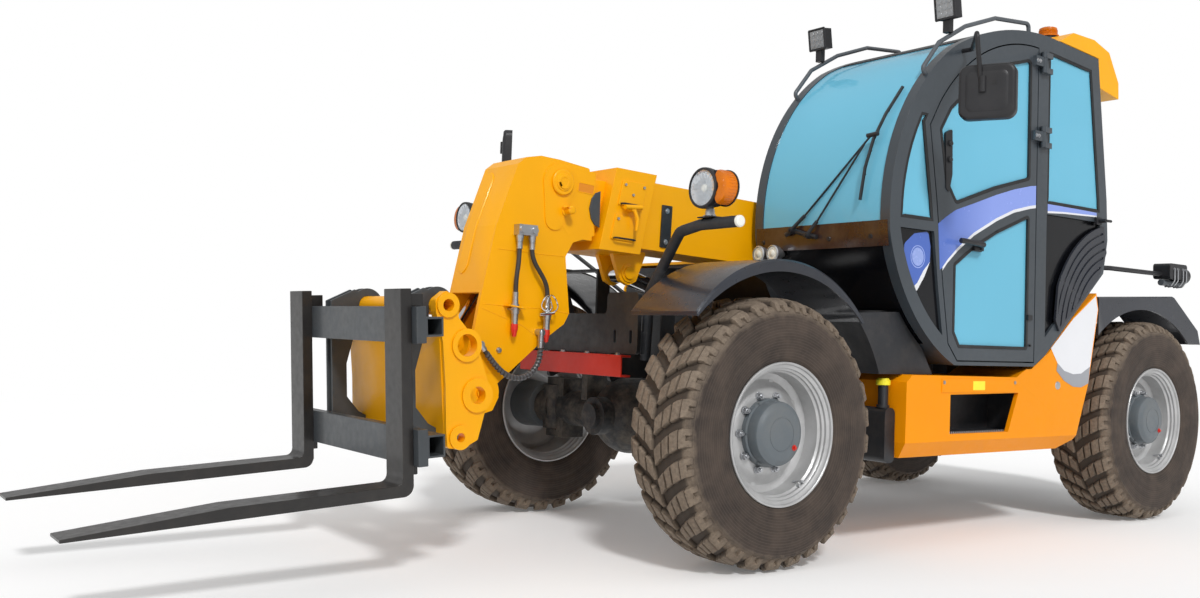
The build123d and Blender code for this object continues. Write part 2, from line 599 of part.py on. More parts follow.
def boom_head():
    """Gooseneck of two side plates with a front plate, which the tilt cylinder runs inside."""
    half = HEAD_W / 2
    body = None
    for sign in (1, -1):
        y0, y1 = sorted((sign * (half - HEAD_PLATE), sign * half))
        plate = side_plate(HEAD_SIDE, y0, y1, radius=12)
        plate -= bar_y(TILT_PIVOT[0], TILT_PIVOT[1], TILT_PIN_R + GAP, -400, 400)
        plate += bar_y(TILT_BASE[0], TILT_BASE[1], 62, y0, y1)
        y2, y3 = sorted((sign * half, sign * (half + 6)))
        drop = bar_y(TILT_BASE[0] + 12, TILT_BASE[1] - 4, 92, y2, y3) + bar_y(606, 1520, 52, y2, y3)
        plate += drop + side_plate([(491, 1685), (675, 1699), (658, 1515), (554, 1525)], y2, y3)
        y2, y3 = sorted((sign * (half - 5), sign * (half + 5)))
        plate -= side_plate([(380, 1700), (384, 1656), (476, 1662), (472, 1706)], y2, y3, radius=5)
        body = plate if body is None else body + plate
    inside = half - HEAD_PLATE + 2
    front = [(585, 1800), (690, 1806), (770, 1790), (814, 1755), (917, 1466), (980, 1160),
             (962, 1156), (900, 1462), (799, 1747), (762, 1776), (690, 1790), (585, 1784)]
    body += side_plate(front, -inside, inside)
    back = [(646, 952), (529, 1034), (502, 1084), (534, 1349), (494, 1418), (484, 1408), (520, 1346), (488, 1080),
            (518, 1026), (638, 942)]
    back = [(x + 14, z + 4) for x, z in back]
    body += side_plate(back, -inside, inside)
    # socket round the inner boom
    socket = block(380, 470, -half, half, -OUTER_H / 2 + 4, OUTER_H / 2 - 4)
    socket -= block(375, 480, -INNER_W / 2 - GAP, INNER_W / 2 + GAP, -INNER_H / 2 - GAP, INNER_H / 2 + GAP)
    body += on_boom(socket)
    body += bar_y(TILT_BASE[0], TILT_BASE[1], 32, -half - 26, half + 26)
    return body


# ---------------------------------------------------------------- cylinders
def barrel(base, eye, length, r, eye_r, eye_w, pin_r):
    """Cylinder barrel from its base eye towards the rod's eye."""
    dx, dz = eye[0] - base[0], eye[1] - base[1]
    run = hypot(dx, dz)
    ux, uz = dx / run, dz / run
    a = (base[0] + ux * eye_r * 0.7, base[1] + uz * eye_r * 0.7)
    b = (base[0] + ux * length, base[1] + uz * length)
    body = rod_between(a, b, r)
    body += bar_y(base[0], base[1], eye_r, -eye_w / 2, eye_w / 2)
    c = (base[0] + ux * (length - 60), base[1] + uz * (length - 60))
    body += rod_between(c, b, r * 1.12)
    body -= bar_y(base[0], base[1], pin_r + GAP, -400, 400)
    return body


def barrel_bore(body, base, eye, start, r):
    dx, dz = eye[0] - base[0], eye[1] - base[1]
    run = hypot(dx, dz)
    ux, uz = dx / run, dz / run
    a = (base[0] + ux * start, base[1] + uz * start)
    b = (base[0] + ux * run, base[1] + uz * run)
    return body - rod_between(a, b, r)


def rod(base, eye, start, r, eye_r, eye_w):
    """Chrome rod with its eye. The eye holds the middle of its pin, and the lugs hold the two ends."""
    dx, dz = eye[0] - base[0], eye[1] - base[1]
    run = hypot(dx, dz)
    ux, uz = dx / run, dz / run
    a = (base[0] + ux * start, base[1] + uz * start)
    b = (eye[0] - ux * eye_r * 0.7, eye[1] - uz * eye_r * 0.7)
    return rod_between(a, b, r) + bar_y(eye[0], eye[1], eye_r, -eye_w / 2, eye_w / 2)


# ---------------------------------------------------------------- carriage
EAR = [(1327, 1148), (1268, 1120), (1262, 1040), (1177, 950), (1103, 760), (1110, 700), (1151, 542), (1224, 504),
       (1290, 512), (1300, 590), (1310, 760), (1330, 940), (1368, 1060), (1372, 1110)]
EAR_BOSSES = [(1316, 1089, 50, 25), (1222, 929, 68, 46), (1163, 725, 71, 36), (1235, 554, 50, 19)]   # x, z, radius, bore


def coupler():
    """Quick coupler: two outer ears with bored bosses, a back plate, and inner lugs on the head."""
    body = None
    for sign in (1, -1):
        y0, y1 = sorted((sign * (EAR_Y - EAR_T / 2), sign * (EAR_Y + EAR_T / 2)))
        ear = side_plate(EAR, y0, y1, radius=14)
        for x, z, r, bore in EAR_BOSSES:
            b0, b1 = sorted((sign * (EAR_Y - EAR_T / 2), sign * (EAR_Y + EAR_T / 2 + 10)))
            ear += bar_y(x, z, r, b0, b1)
        for x, z, r, bore in EAR_BOSSES:
            ear -= bar_y(x, z, bore, -600, 600)
        body = ear if body is None else body + ear
        l0, l1 = sorted((sign * (HEAD_W / 2 + RUN), sign * (HEAD_W / 2 + RUN + 40)))
        lug = side_plate([(900, 700), (930, 640), (985, 625), (1200, 560), (1290, 560), (1290, 860), (1150, 860),
                          (1040, 800), (940, 800)], l0, l1, radius=14)
        lug += bar_y(TILT_PIVOT[0], TILT_PIVOT[1], 84, l0, l1)
        body += lug
        r0, r1 = sorted((sign * 40, sign * 66))
        ex, ez = TILT_EYE
        body += side_plate([(ex - 50, ez - 20), (ex - 40, ez + 45), (ex + 30, ez + 55), (1310, ez + 40), (1310, ez - 110),
                            (1180, ez - 120), (ex - 10, ez - 55)], r0, r1, radius=14)
        body += bar_y(ex, ez, TILT_EYE_PIN_R, *sorted((sign * (TILT_EYE_W / 2 + GAP), sign * 74)))
    back = [(1250, 545), (1296, 545), (1318, 780), (1340, 1000), (1300, 1000), (1278, 780)]
    body += side_plate(back, -EAR_Y, EAR_Y, radius=6)
    cross_x, cross_z, _, cross_bore = EAR_BOSSES[0]
    body += bar_y(cross_x, cross_z, CROSS_TUBE_R, -EAR_Y, EAR_Y) - bar_y(cross_x, cross_z, cross_bore, -EAR_Y, EAR_Y)
    body += bar_y(TILT_PIVOT[0], TILT_PIVOT[1], TILT_PIN_R, -HEAD_W / 2 - 60, HEAD_W / 2 + 60)
    return body


def fork_frame():
    """Welded fork carriage: two rails, their tubes and the uprights, in fork terms."""
    body = None
    back = -FORK_T - GAP
    tube_rows = [(-188, -112), (-654, -566)]     # lower and upper side of each square tube, below the shank's top
    rail_rows = [(-212, -212 + RAIL_PLATE_H), (-684, -684 + RAIL_PLATE_H)]
    for z0, z1 in rail_rows:
        rail = block(back - RAIL_PLATE_T, back, -FRAME_HALF_W, FRAME_HALF_W, z0, z1)
        body = rail if body is None else body + rail
    for z0, z1 in tube_rows:
        x1 = back - RAIL_PLATE_T + 2
        box = block(x1 - FRAME_TUBE, x1, -FRAME_HALF_W, FRAME_HALF_W, z0, z1)
        box -= block(x1 - FRAME_TUBE + 8, x1 - 8, -FRAME_HALF_W - 5, FRAME_HALF_W + 5, z0 + 8, z1 - 8)
        body += box
    # hook plates that hang on the coupler's cross tube and rest below against its back plate
    hx, hz = HOOK
    plate = [(back - RAIL_PLATE_T, -684), (back - RAIL_PLATE_T, -45), (hx + 60, hz + 72), (hx, hz + 40), (hx + 41, hz),
             (-200, -200), (-160, -330), (-160, -480), (-215, -550), (-249.64, -570), (-250.97, -612.8), (-240, -684)]
    for sign in (1, -1):
        for y in (300, 350):
            y0, y1 = sorted((sign * y, sign * (y + 14)))
            hook = side_plate(plate, y0, y1) + bar_y(hx, hz, HOOK_R, y0, y1)
            hook -= bar_y(hx, hz, CROSS_TUBE_R + GAP, y0 - 1, y1 + 1)
            hook -= block(hx - CROSS_TUBE_R - GAP, hx + CROSS_TUBE_R + GAP, y0 - 1, y1 + 1, hz - 120, hz)
            hook -= block(hx - 120, hx - CROSS_TUBE_R, y0 - 1, y1 + 1, hz - 120, hz - 24)
            body += hook
    return on_fork(body)


def fork(y_sign):
    """L-shaped fork with a tapered blade and two hooks on the rails."""
    y = y_sign * FORK_Y
    heel = -FORK_HEIGHT
    outline = [(-FORK_T, 0), (0, 0), (0, heel + FORK_T), (FORK_LENGTH * 0.55, heel + FORK_T),
               (FORK_LENGTH, heel + FORK_TIP_T), (FORK_LENGTH, heel), (-FORK_T + 25, heel), (-FORK_T, heel + 25)]
    body = side_plate(outline, y - FORK_WIDTH / 2, y + FORK_WIDTH / 2)
    hook = [(-FORK_T + 1, -20), (-FORK_T - RAIL_PLATE_T - 20, -20), (-FORK_T - RAIL_PLATE_T - 20, -100),
            (-FORK_T - RAIL_PLATE_T - GAP - 4, -100), (-FORK_T - RAIL_PLATE_T - GAP - 4, -70 + GAP), (-FORK_T + 1, -70 + GAP)]
    body += side_plate(hook, y - 50, y + 50)
    low = [(-FORK_T + 1, -684 - GAP), (-FORK_T - RAIL_PLATE_T + 14, -684 - GAP), (-FORK_T - RAIL_PLATE_T + 14, -720),
           (-FORK_T + 1, -720)]
    body += side_plate(low, y - 50, y + 50)
    return on_fork(body)


# ---------------------------------------------------------------- cab
def cab_face(inset=0):
    """The cab's side outline as a face in the XZ plane: front, roof, rear and wheel-arch slopes."""
    edges = [ThreePointArc((-1163, 900), (-850, 1130), (-652, 1530)),
             ThreePointArc((-652, 1530), (-760, 2075), (-1127, 2481)),
             ThreePointArc((-1127, 2481), (-1560, 2640), (-2041, 2668)),
             Line((-2041, 2668), (-2437, 2640)),
             Line((-2437, 2640), (-2545, 1850)),
             Line((-2545, 1850), (-2560, 1620)),
             Line((-2560, 1620), (-2520, 1430)),
             Line((-2520, 1430), (-1953, 962)),
             Line((-1953, 962), (-1843, 900)),
             Line((-1843, 900), (-1163, 900))]
    face = make_face(edges)
    if inset:
        face = offset(face, amount=-inset, kind=Kind.INTERSECTION)
    return face


def cab_slab(y0, y1, inset=0):
    return Pos(0, y0, 0) * extrude(Plane.XZ * cab_face(inset), amount=y1 - y0, dir=(0, 1, 0))


def cab_ring(inset, thick, y0, y1):
    """A band of the cab's outline, as thick as said, between two Y."""
    return cab_slab(y0, y1, inset) - cab_slab(y0 - 1, y1 + 1, inset + thick)


def door_face(inset=0):
    edges = [Line((-1186, 925), (-1842, 925)),
             Line((-1842, 925), (-1842, 2592)),
             ThreePointArc((-1842, 2592), (-1400, 2500), (-1009, 2173)),
             Line((-1009, 2173), (-940, 2059)),
             Line((-940, 2059), (-1002, 1700)),
             Line((-1002, 1700), (-1063, 1284)),
             Line((-1063, 1284), (-1112, 1007)),
             Line((-1112, 1007), (-1186, 925))]
    face = make_face(edges)
    if inset:
        face = offset(face, amount=-inset, kind=Kind.INTERSECTION)
    return face


def door_slab(y0, y1, inset=0):
    return Pos(0, y0, 0) * extrude(Plane.XZ * door_face(inset), amount=y1 - y0, dir=(0, 1, 0))


LEFT_IN = CAB_LEFT - CAB_WALL
RIGHT_IN = CAB_RIGHT + CAB_WALL
SILL_Z = 1570
RING_W = 78                    # depth of the side frame's bent tube, seen from the side
JAMB_W = 35                    # door frame between the door's gap and the panes
PILLAR = (-1945, -1849)
WAIST = (1545, 1592)           # rail below the quarter pane and the right-hand pane
REAR_WAIST = (1716, 1772)      # rail below the rear panes
LINTEL_Z = 2110
PANEL_DEPTH = 15               # panels lie this far behind the frame's face
PANEL_T = 14
COWL_INSET = 6                 # front cowl and rear wall behind the cab's outline
UPPER_GLASS = [(-1150, 1690), (-1480, 1800), (-1785, 1880), (-1785, 2530), (-1420, 2430), (-1090, 2170), (-1010, 2050),
               (-1060, 1800)]
LOWER_GLASS = [(-1140, 1400), (-1300, 1500), (-1490, 1590), (-1785, 1700), (-1785, 985), (-1190, 985), (-1140, 1060)]


def side_frame(y0, y1, with_door):
    """One welded side of the cab: the bent outer tube, the pillar, the rails and the door's frame."""
    ring = cab_ring(0, RING_W, y0, y1)
    body = ring + (cab_slab(y0, y1) & block(*PILLAR, y0, y1, 800, 2800))
    body += cab_slab(y0, y1) & block(-3000, PILLAR[0] + 10, y0, y1, *REAR_WAIST)
    body += cab_slab(y0, y1) & block(PILLAR[0] + 10, -500, y0, y1, *WAIST)
    if with_door:
        body += cab_slab(y0, y1) & door_slab(y0, y1, -DOOR_GAP - JAMB_W)
        body += cab_slab(y0, y1) & block(PILLAR[0], -500, y0, y1, LINTEL_Z, 2800)
        body -= door_slab(y0 - 1, y1 + 1, -DOOR_GAP)
    return body


def bay(y0, y1, x0, x1, z0, z1, beside_door=False):
    """What fills one bay of a side frame, with the seating gap all round."""
    fill = cab_slab(y0, y1, RING_W + GAP) & block(x0 + GAP, x1 - GAP, y0, y1, z0 + GAP, z1 - GAP)
    if beside_door:
        fill -= door_slab(y0 - 1, y1 + 1, -DOOR_GAP - JAMB_W - GAP)
    return sorted(fill.solids(), key=lambda solid: solid.volume)[-1]


def cab_frame():
    """Side frames, cross tubes and floor: the cab's welded structure."""
    body = side_frame(LEFT_IN, CAB_LEFT, True) + side_frame(CAB_RIGHT, RIGHT_IN, False)
    shell = cab_ring(0, CAB_WALL, RIGHT_IN - 1, LEFT_IN + 1)
    y0, y1 = RIGHT_IN + 12, LEFT_IN - 12
    for x0, x1, z0, z1 in ((-1240, -500, SILL_Z, 2700), (-2415, -1240, 2480, 2700), (-2700, -2440, 1760, 2560),
                           (-1120, -500, 1000, 1512), (-2700, -1990, 1000, 1700)):
        shell -= block(x0, x1, y0, y1, z0, z1)
    body += shell
    for lug in door_hinges():
        body += lug
    return body


def cab_panels():
    """Black infill panels of the side frames, the front cowl and the lower rear wall."""
    out, into = CAB_LEFT - PANEL_DEPTH, CAB_RIGHT + PANEL_DEPTH
    parts = [bay(out - PANEL_T, out, PILLAR[1], -500, 800, WAIST[0], True),
             bay(out - PANEL_T, out, -3000, PILLAR[0], 800, REAR_WAIST[0]),
             bay(into, into + PANEL_T, PILLAR[1], -500, 800, WAIST[0]),
             bay(into, into + PANEL_T, -3000, PILLAR[0], 800, REAR_WAIST[0])]
    y0, y1 = RIGHT_IN + 12 + GAP, LEFT_IN - 12 - GAP
    wall = cab_ring(COWL_INSET, 20, y0, y1)
    parts.append(wall & block(-1120 + GAP, -500, y0, y1, 1000 + GAP, 1512 - GAP))
    parts.append(wall & block(-2700, -1990 - GAP, y0, y1, 1000 + GAP, 1700 - GAP))
    return parts


LOUVRE_INNER = [(-2496, 1696), (-2209, 1552), (-2045, 1333)]     # the cover's bowed upper edge
LOUVRE_RIBS = 5


def louvre():
    """Ribbed cover over the lower rear corner: bowed ribs that run with its upper edge."""
    a, b, c = LOUVRE_INNER
    bow = ThreePointArc(a, b, c)
    cx, cz = bow.arc_center.X, bow.arc_center.Y
    edges = [bow, Line(c, (-2024, 1150)), Line((-2024, 1150), (-2062, 1092)), Line((-2062, 1092), (-2452, 1402)),
             Line((-2452, 1402), (-2528, 1547)), Line((-2528, 1547), a)]
    face = make_face(edges)
    y0 = CAB_LEFT + GAP
    body = Pos(0, y0, 0) * extrude(Plane.XZ * face, amount=14, dir=(0, 1, 0))
    for i in range(LOUVRE_RIBS):
        r = bow.radius - 34 - 44 * i
        groove = arc_band(cx, cz, r - 12, r, 0, 100, y0 + 6, y0 + 20)
        body -= groove & Pos(0, y0, 0) * extrude(Plane.XZ * offset(face, amount=-16), amount=30, dir=(0, 1, 0))
    return body


def windscreen():
    glass = cab_ring(6, GLASS_T, RIGHT_IN + 12 + GAP, LEFT_IN - 12 - GAP)
    return glass & block(-1240 + GAP, -500, 0, 1100, SILL_Z + GAP, 2700)


def cab_roof():
    """Roof skin between the side frames, with its raised rear part."""
    skin = cab_ring(0, 30, RIGHT_IN + 12 + GAP, LEFT_IN - 12 - GAP)
    skin = skin & block(-2415 + GAP, -1240 - GAP, 0, 1100, 2480, 2700)
    return skin


def roof_cowl():
    """Painted cowl over the rear edge of the roof, with its horn-shaped ends."""
    outline = [(-2050, 2672), (-2190, 2745), (-2400, 2745), (-2560, 2700), (-2665, 2540), (-2668, 2446), (-2460, 2480),
               (-2445, 2520), (-2450, 2646)]
    body = side_plate(outline, CAB_RIGHT + 4, CAB_LEFT - 4)
    return body - cab_slab(CAB_RIGHT - 5, CAB_LEFT + 5, -GAP)


def side_glass():
    out, into = CAB_LEFT - 8, CAB_RIGHT + 8
    panes = [bay(out - GLASS_T, out, PILLAR[1], -500, WAIST[1], LINTEL_Z, True),
             bay(out - GLASS_T, out, -3000, PILLAR[0], REAR_WAIST[1], 2800),
             bay(into, into + GLASS_T, PILLAR[1], -500, WAIST[1], 2800),
             bay(into, into + GLASS_T, -3000, PILLAR[0], REAR_WAIST[1], 2800)]
    rear = cab_ring(10, GLASS_T, RIGHT_IN + 12 + GAP, LEFT_IN - 12 - GAP)
    panes.append(rear & block(-2700, -2440 - GAP, 0, 1100, 1760 + GAP, 2560 - GAP))
    return panes


def cab_door():
    body = door_slab(LEFT_IN + 2, CAB_LEFT)
    body -= side_plate(UPPER_GLASS, LEFT_IN - 5, CAB_LEFT + 5, radius=30)
    body -= side_plate(LOWER_GLASS, LEFT_IN - 5, CAB_LEFT + 5, radius=20)
    hx, hy = DOOR_HINGE
    for z in (2520, 2120):
        body += block(hx, -1790, CAB_LEFT + 2, hy + 6, z - 26, z + 26)
        body += block(-1830, -1790, CAB_LEFT - 2, CAB_LEFT + 4, z - 26, z + 26)
        body += bar_z(hx, hy, 14, z - 26, z + 26)
    return body


def door_glass():
    y1 = CAB_LEFT - 10
    return [side_plate(UPPER_GLASS, y1 - GLASS_T, y1, radius=30), side_plate(LOWER_GLASS, y1 - GLASS_T, y1, radius=20)]


def door_handle():
    body = block(-1370, -1130, CAB_LEFT + GAP, CAB_LEFT + 14, 1470, 1530)
    body += block(-1360, -1160, CAB_LEFT + 14, CAB_LEFT + 50, 1500, 1520)
    return body


def door_hinges():
    hx, hy = DOOR_HINGE
    parts = []
    for z in (2520, 2120):
        for a, b in ((z - 56, z - 26 - GAP), (z + 26 + GAP, z + 56)):
            lug = block(hx - 70, hx, CAB_LEFT - 2, hy + 8, a, b) + bar_z(hx, hy, 16, a, b)
            parts.append(lug)
    return parts


def cab_mounts():
    """Rubber-mounted feet between the chassis and the cab floor."""
    parts = []
    for x in (-1300, -1800):
        for y in (RAIL_Y + RAIL_T + 60, 560):
            parts.append(block(x - 50, x + 50, y - 45, y + 45, 800, 900 - GAP))
    arm = [block(x - 50, x + 50, RAIL_Y + RAIL_T - 2, 620, 760, 800) for x in (-1300, -1800)]
    return [parts[0] + parts[1] + arm[0], parts[2] + parts[3] + arm[1]]


SEAT_X = -1780
SEAT_Y = 632
FLOOR_Z = 945


def seat_base():
    body = block(SEAT_X - 35, SEAT_X + 210, SEAT_Y - 170, SEAT_Y + 170, FLOOR_Z + GAP, 1292)
    body += block(SEAT_X - 250, SEAT_X + 230, SEAT_Y - 230, SEAT_Y + 230, 1290, 1320)
    body += block(SEAT_X - 372, SEAT_X - 362, SEAT_Y - 180, SEAT_Y + 180, 1292, 1900)
    body += block(SEAT_X - 372, SEAT_X - 180, SEAT_Y - 180, SEAT_Y + 180, 1292, 1318)
    return body


def seat_cushion():
    body = block(SEAT_X - 240, SEAT_X + 250, SEAT_Y - 240, SEAT_Y + 240, 1320 + GAP, 1430)
    return fillet(body.edges().filter_by(Axis.Z), 50)


def seat_back():
    body = block(SEAT_X - 362 + GAP, SEAT_X - 245, SEAT_Y - 235, SEAT_Y + 235, 1322, 1960)
    return fillet(body.edges().filter_by(Axis.X), 60)


def steering_column():
    body = tube([(-1100, SEAT_Y, FLOOR_Z), (-1130, SEAT_Y, 1450), (-1270, SEAT_Y, 1690)], 45, 120)
    body = body & cab_slab(RIGHT_IN, LEFT_IN, CAB_WALL + GAP)
    wheel_ring = Torus(190, 15)
    spokes = Box(370, 36, 14) + Box(36, 370, 14) + Cylinder(48, 40)
    ring = Pos(-1278, SEAT_Y, 1704) * Rot(0, -30, 0) * (wheel_ring + spokes)
    return body + ring


def dashboard():
    outline = [(-700, 1130), (-650, 1300), (-650, 1540), (-800, 1560), (-960, 1560), (-1010, 1500), (-1010, 1130)]
    body = side_plate(outline, RIGHT_IN + 10, LEFT_IN - 10)
    return body & cab_slab(RIGHT_IN, LEFT_IN, CAB_WALL + GAP)


def side_console():
    body = block(-1830, -1300, RIGHT_IN + 6, RIGHT_IN + 140, FLOOR_Z + GAP, 1420)
    body = fillet(body.edges().filter_by(Axis.Y), 30)
    body += bar_z(-1450, RIGHT_IN + 75, 12, 1418, 1560) + Pos(-1450, RIGHT_IN + 75, 1580) * Sphere(30)
    return body


# ---------------------------------------------------------------- lights, mirrors, small pieces
def headlight(y_sign):
    """Bent tube behind the front cross plate that carries a lamp and its indicator."""
    x = LAMP_X
    body = tube([(280, 447, 880), (278, 463, 1192), (x, 800, 1443), (x, 930, 1466), (x, 1165, 1468)], 24, 62)
    body += block(286, FRAME_FRONT - 20 - GAP, 430, 464, 908, 1010)
    return body if y_sign > 0 else mirrored(body)


def lamp(y_sign):
    """Round headlight with a broad indicator wrapped round its outer side."""
    x, y, z = LAMP_X, 985, 1613
    dish = [(0, -78), (34, -78), (72, -40), (84, 10), (84, 40), (76, 46), (76, 34), (0, 30)]
    body = Pos(x, y, z) * Rot(0, 0, -90) * revolve(Polygon(*dish, align=None), axis=Axis.Y)
    body += Pos(x - 4, y + 62, z) * Rot(0, 90, 0) * Cylinder(70, 70)
    body += bar_z(x, y, 16, 1490.6 + GAP, 1560) + block(x - 30, x + 30, y - 45, y + 45, 1490.6 + GAP, 1496)
    return body if y_sign > 0 else mirrored(body)


def mirror_case(x, y, z, turn):
    """Rounded mirror housing with a shallow recess for the glass on its rear face."""
    case = fillet(Box(55, 250, 250).edges().filter_by(Axis.X), 45)
    case = fillet(case.edges().group_by(Axis.X)[-1], 18)
    glass = fillet(Box(8, 222, 222).edges().filter_by(Axis.X), 36)
    return Pos(x, y, z) * Rot(0, 0, turn) * (case - Pos(-27, 0, 0) * glass)


def mirror_left():
    arm = tube([(-1180, CAB_LEFT + GAP, 2460), (-1180, 1130, 2460), (-757, 1450, 2400), (-795, 1450, 2160)], 11, 24)
    return arm + mirror_case(-825, 1464, 2140, 25)


def mirror_right():
    arm = tube([(POD_FRONT + GAP, -900, 1240), (-640, -900, 1240), (-300, -1250, 1600), (-100, -1420, 1900),
                (-100, -1420, 2100)], 12, 30)
    return arm + mirror_case(-95, -1424, 2090, -32)


def beacon():
    body = bar_z(-2260, 870, 58, 2745 + GAP, 2766) + bar_z(-2260, 870, 48, 2766, 2826)
    return fillet(body.edges().sort_by(Axis.Z)[-1], 20)


def roof_rail(y, r):
    return tube([(-935, y, 2290), (-895, y, 2330), (-1020, y, 2480), (-1230, y, 2600), (-1480, y, 2690),
                 (-1780, y, 2720), (-1784, y, 2650)], r, 22)


def roof_rails():
    return [roof_rail(y, 11) - cab_slab(CAB_RIGHT - 5, CAB_LEFT + 5, -GAP) for y in (CAB_LEFT - 24, CAB_RIGHT + 24)]


def work_lights():
    parts = []
    for y in (CAB_LEFT - 24, CAB_RIGHT + 24):
        box = Pos(-1090, y, 2665) * Rot(0, 8, 0) * Box(60, 110, 110)
        box += block(-1105, -1075, y - 20, y + 20, 2540, 2620)
        rail = roof_rail(y, 11 + GAP)
        parts.append(box - rail)
    return parts


def rear_lamp(y_sign):
    """Lamp on a tube behind: the left one from the cab's rear, the right one from the engine side."""
    start = (-2400, 900, 1480) if y_sign > 0 else (POD_REAR - GAP, 900, 1330)
    body = tube([start, (-2620, 900, start[2]), (-2760, 980, 1480), (-3480, 980, 1480)], 14, 60)
    body += block(-3560, -3480, 930, 1040, 1440, 1520)
    body += bar_x(-3620, -3560, 985, 1480, 50)
    if y_sign > 0:
        return body - cab_slab(CAB_RIGHT, CAB_LEFT, COWL_INSET - GAP)
    return mirrored(body)


# ---------------------------------------------------------------- hoses on the boom's head
HOSE_R = 10.5
HOSE_Y = 172
VALVE = (725, 824, 1428, 1476)       # x and z of the block that the two hoses hang from
COUPLERS = ((819, 1133), (645, 1112))
HOSE_LEFT = [(807, 172, 1404), (807, 172, 1351), (813, 178, 1298), (822, 180, 1243), (819, 172, 1190), (819, 172, 1133)]
HOSE_RIGHT = [(741, 172, 1404), (741, 172, 1352), (726, 179, 1303), (696, 183, 1262), (664, 180, 1221), (645, 172, 1174),
              (645, 172, 1112)]
HOSE_WRAPPED = [(676, 176, 957), (676, 176, 911), (684, 182, 866), (707, 185, 826), (742, 186, 796), (786, 185, 782),
                (832, 183, 785), (874, 180, 804), (909, 176, 834), (940, 172, 868), (970, 172, 903)]


def hose(points, r):
    """A hose along its route: straight runs joined by tangent arcs."""
    spots = [Vector(*p) for p in points]
    radii = []
    for before, corner, after in zip(spots, spots[1:], spots[2:]):
        run = min((corner - before).length, (after - corner).length)
        half_turn = radians((corner - before).get_angle(after - corner)) / 2
        radii.append(0.45 * run / (sin(half_turn) / cos(half_turn)))
    path = FilletPolyline(*points, radius=radii)
    return sweep(Plane(origin=path @ 0, z_dir=path % 0) * Circle(r), path=path)


def hose_fittings():
    """Valve block, quick couplers and elbows on the left side of the boom's head."""
    face, y = HEAD_W / 2 + GAP, HOSE_Y
    x0, x1, z0, z1 = VALVE
    valve = block(x0, x1, face, y + 20, z0, z1)
    for x in (HOSE_LEFT[0][0], HOSE_RIGHT[0][0]):
        valve += bar_z(x, y, 15, HOSE_LEFT[0][2] + GAP, z0 + 5) + bar_z(x, y, 17, z0 - 16, z0 + 2)
        valve += bar_y(x, (z0 + z1) / 2, 15, y + 18, y + 30)
    parts = [valve]
    for x, z in COUPLERS:
        body = bar_z(x, y, 14, z - 20, z - GAP) + bar_z(x, y, 19, z - 62, z - 18) + bar_z(x, y, 15, z - 108, z - 60)
        body += block(x - 24, x + 24, face, y + 4, z - 46, z - 38)
        parts.append(body)
    (x, yy, z), (xe, ye, ze) = HOSE_WRAPPED[0], HOSE_WRAPPED[-1]
    parts.append(bar_z(x, yy, 14, z + GAP, z + 44) + bar_y(x, z + 34, 16, face, yy + 12))
    over = Vector(xe, 0, ze) - Vector(HOSE_WRAPPED[-2][0], 0, HOSE_WRAPPED[-2][2])
    ux, uz = over.X / over.length, over.Z / over.length
    elbow = rod_between((xe + ux, ze + uz), (xe + 34 * ux, ze + 34 * uz), 14, y=ye)
    parts.append(elbow + bar_y(xe + 34 * ux, ze + 34 * uz, 16, face, ye + 12))
    return parts


def main():
    os.makedirs("parts", exist_ok=True)
    export("chassis_frame", chassis_frame())
    export("front_axle", axle(0, True))
    export("rear_axle", axle(-WHEELBASE, False))
    export("counterweight", counterweight(), tow_hitch())
    export("engine_block", engine_block())
    export("engine_pod", engine_pod())
    export("hood", hood())
    export("side_box", side_box())
    export("side_tank", side_tank())
    export("fuel_cap", fuel_cap())
    export("arch_liner", arch_liner())
    export("cross_beam", cross_beam())
    for name, x, rear in (("front", 0, False), ("rear", -WHEELBASE, True)):
        export(f"{name}_fenders", fender(x, 1, rear), fender(x, -1, rear))
        for side, sign in (("left", 1), ("right", -1)):
            export(f"{name}_{side}_knuckle", knuckle(sign, x))
            export(f"{name}_{side}_wheel", wheel(sign, x))
            export(f"{name}_{side}_tyre", tyre(sign, x))
    export("boom_outer", boom_outer())
    export("boom_inner", boom_inner())
    export("boom_head", boom_head())
    export("boom_plates", *boom_plates())
    export("hose_fittings", *hose_fittings())
    export("hose_left", hose(HOSE_LEFT, HOSE_R))
    export("hose_right", hose(HOSE_RIGHT, HOSE_R))
    export("hose_wrapped", hose(HOSE_WRAPPED, HOSE_R))
    export("lift_barrel", barrel_bore(barrel(LIFT_BASE, LIFT_EYE, 1880, LIFT_BARREL_R, 72, 132, 34),
                                      LIFT_BASE, LIFT_EYE, 90, LIFT_ROD_R + GAP))
    export("lift_rod", rod(LIFT_BASE, LIFT_EYE, 165, LIFT_ROD_R, LIFT_EYE_R, LIFT_EYE_W))
    export("tilt_barrel", barrel_bore(barrel(TILT_BASE, TILT_EYE, 560, TILT_BARREL_R, 58, 110, 32),
                                      TILT_BASE, TILT_EYE, 80, TILT_ROD_R + GAP))
    export("tilt_rod", rod(TILT_BASE, TILT_EYE, 140, TILT_ROD_R, TILT_EYE_R, TILT_EYE_W))
    export("coupler", coupler())
    export("fork_frame", fork_frame())
    export("fork_left", fork(1))
    export("fork_right", fork(-1))
    export("cab_frame", cab_frame())
    export("cab_panels", *cab_panels())
    export("louvre", louvre())
    export("cab_glass", windscreen(), *side_glass())
    export("cab_roof", cab_roof())
    export("roof_cowl", roof_cowl())
    export("door", cab_door(), door_handle())
    export("door_glass", *door_glass())
    export("seat_base", seat_base())
    export("seat_cushion", seat_cushion())
    export("seat_back", seat_back())
    export("dashboard", dashboard(), steering_column())
    export("side_console", side_console())
    export("lamp_brackets", headlight(1), headlight(-1), *roof_rails())
    export("lamps", lamp(1), lamp(-1), beacon(), *work_lights(), rear_lamp(1), rear_lamp(-1))
    export("mirrors", mirror_left(), mirror_right())


if __name__ == "__main__":
    main()
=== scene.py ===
import json
import math
import random

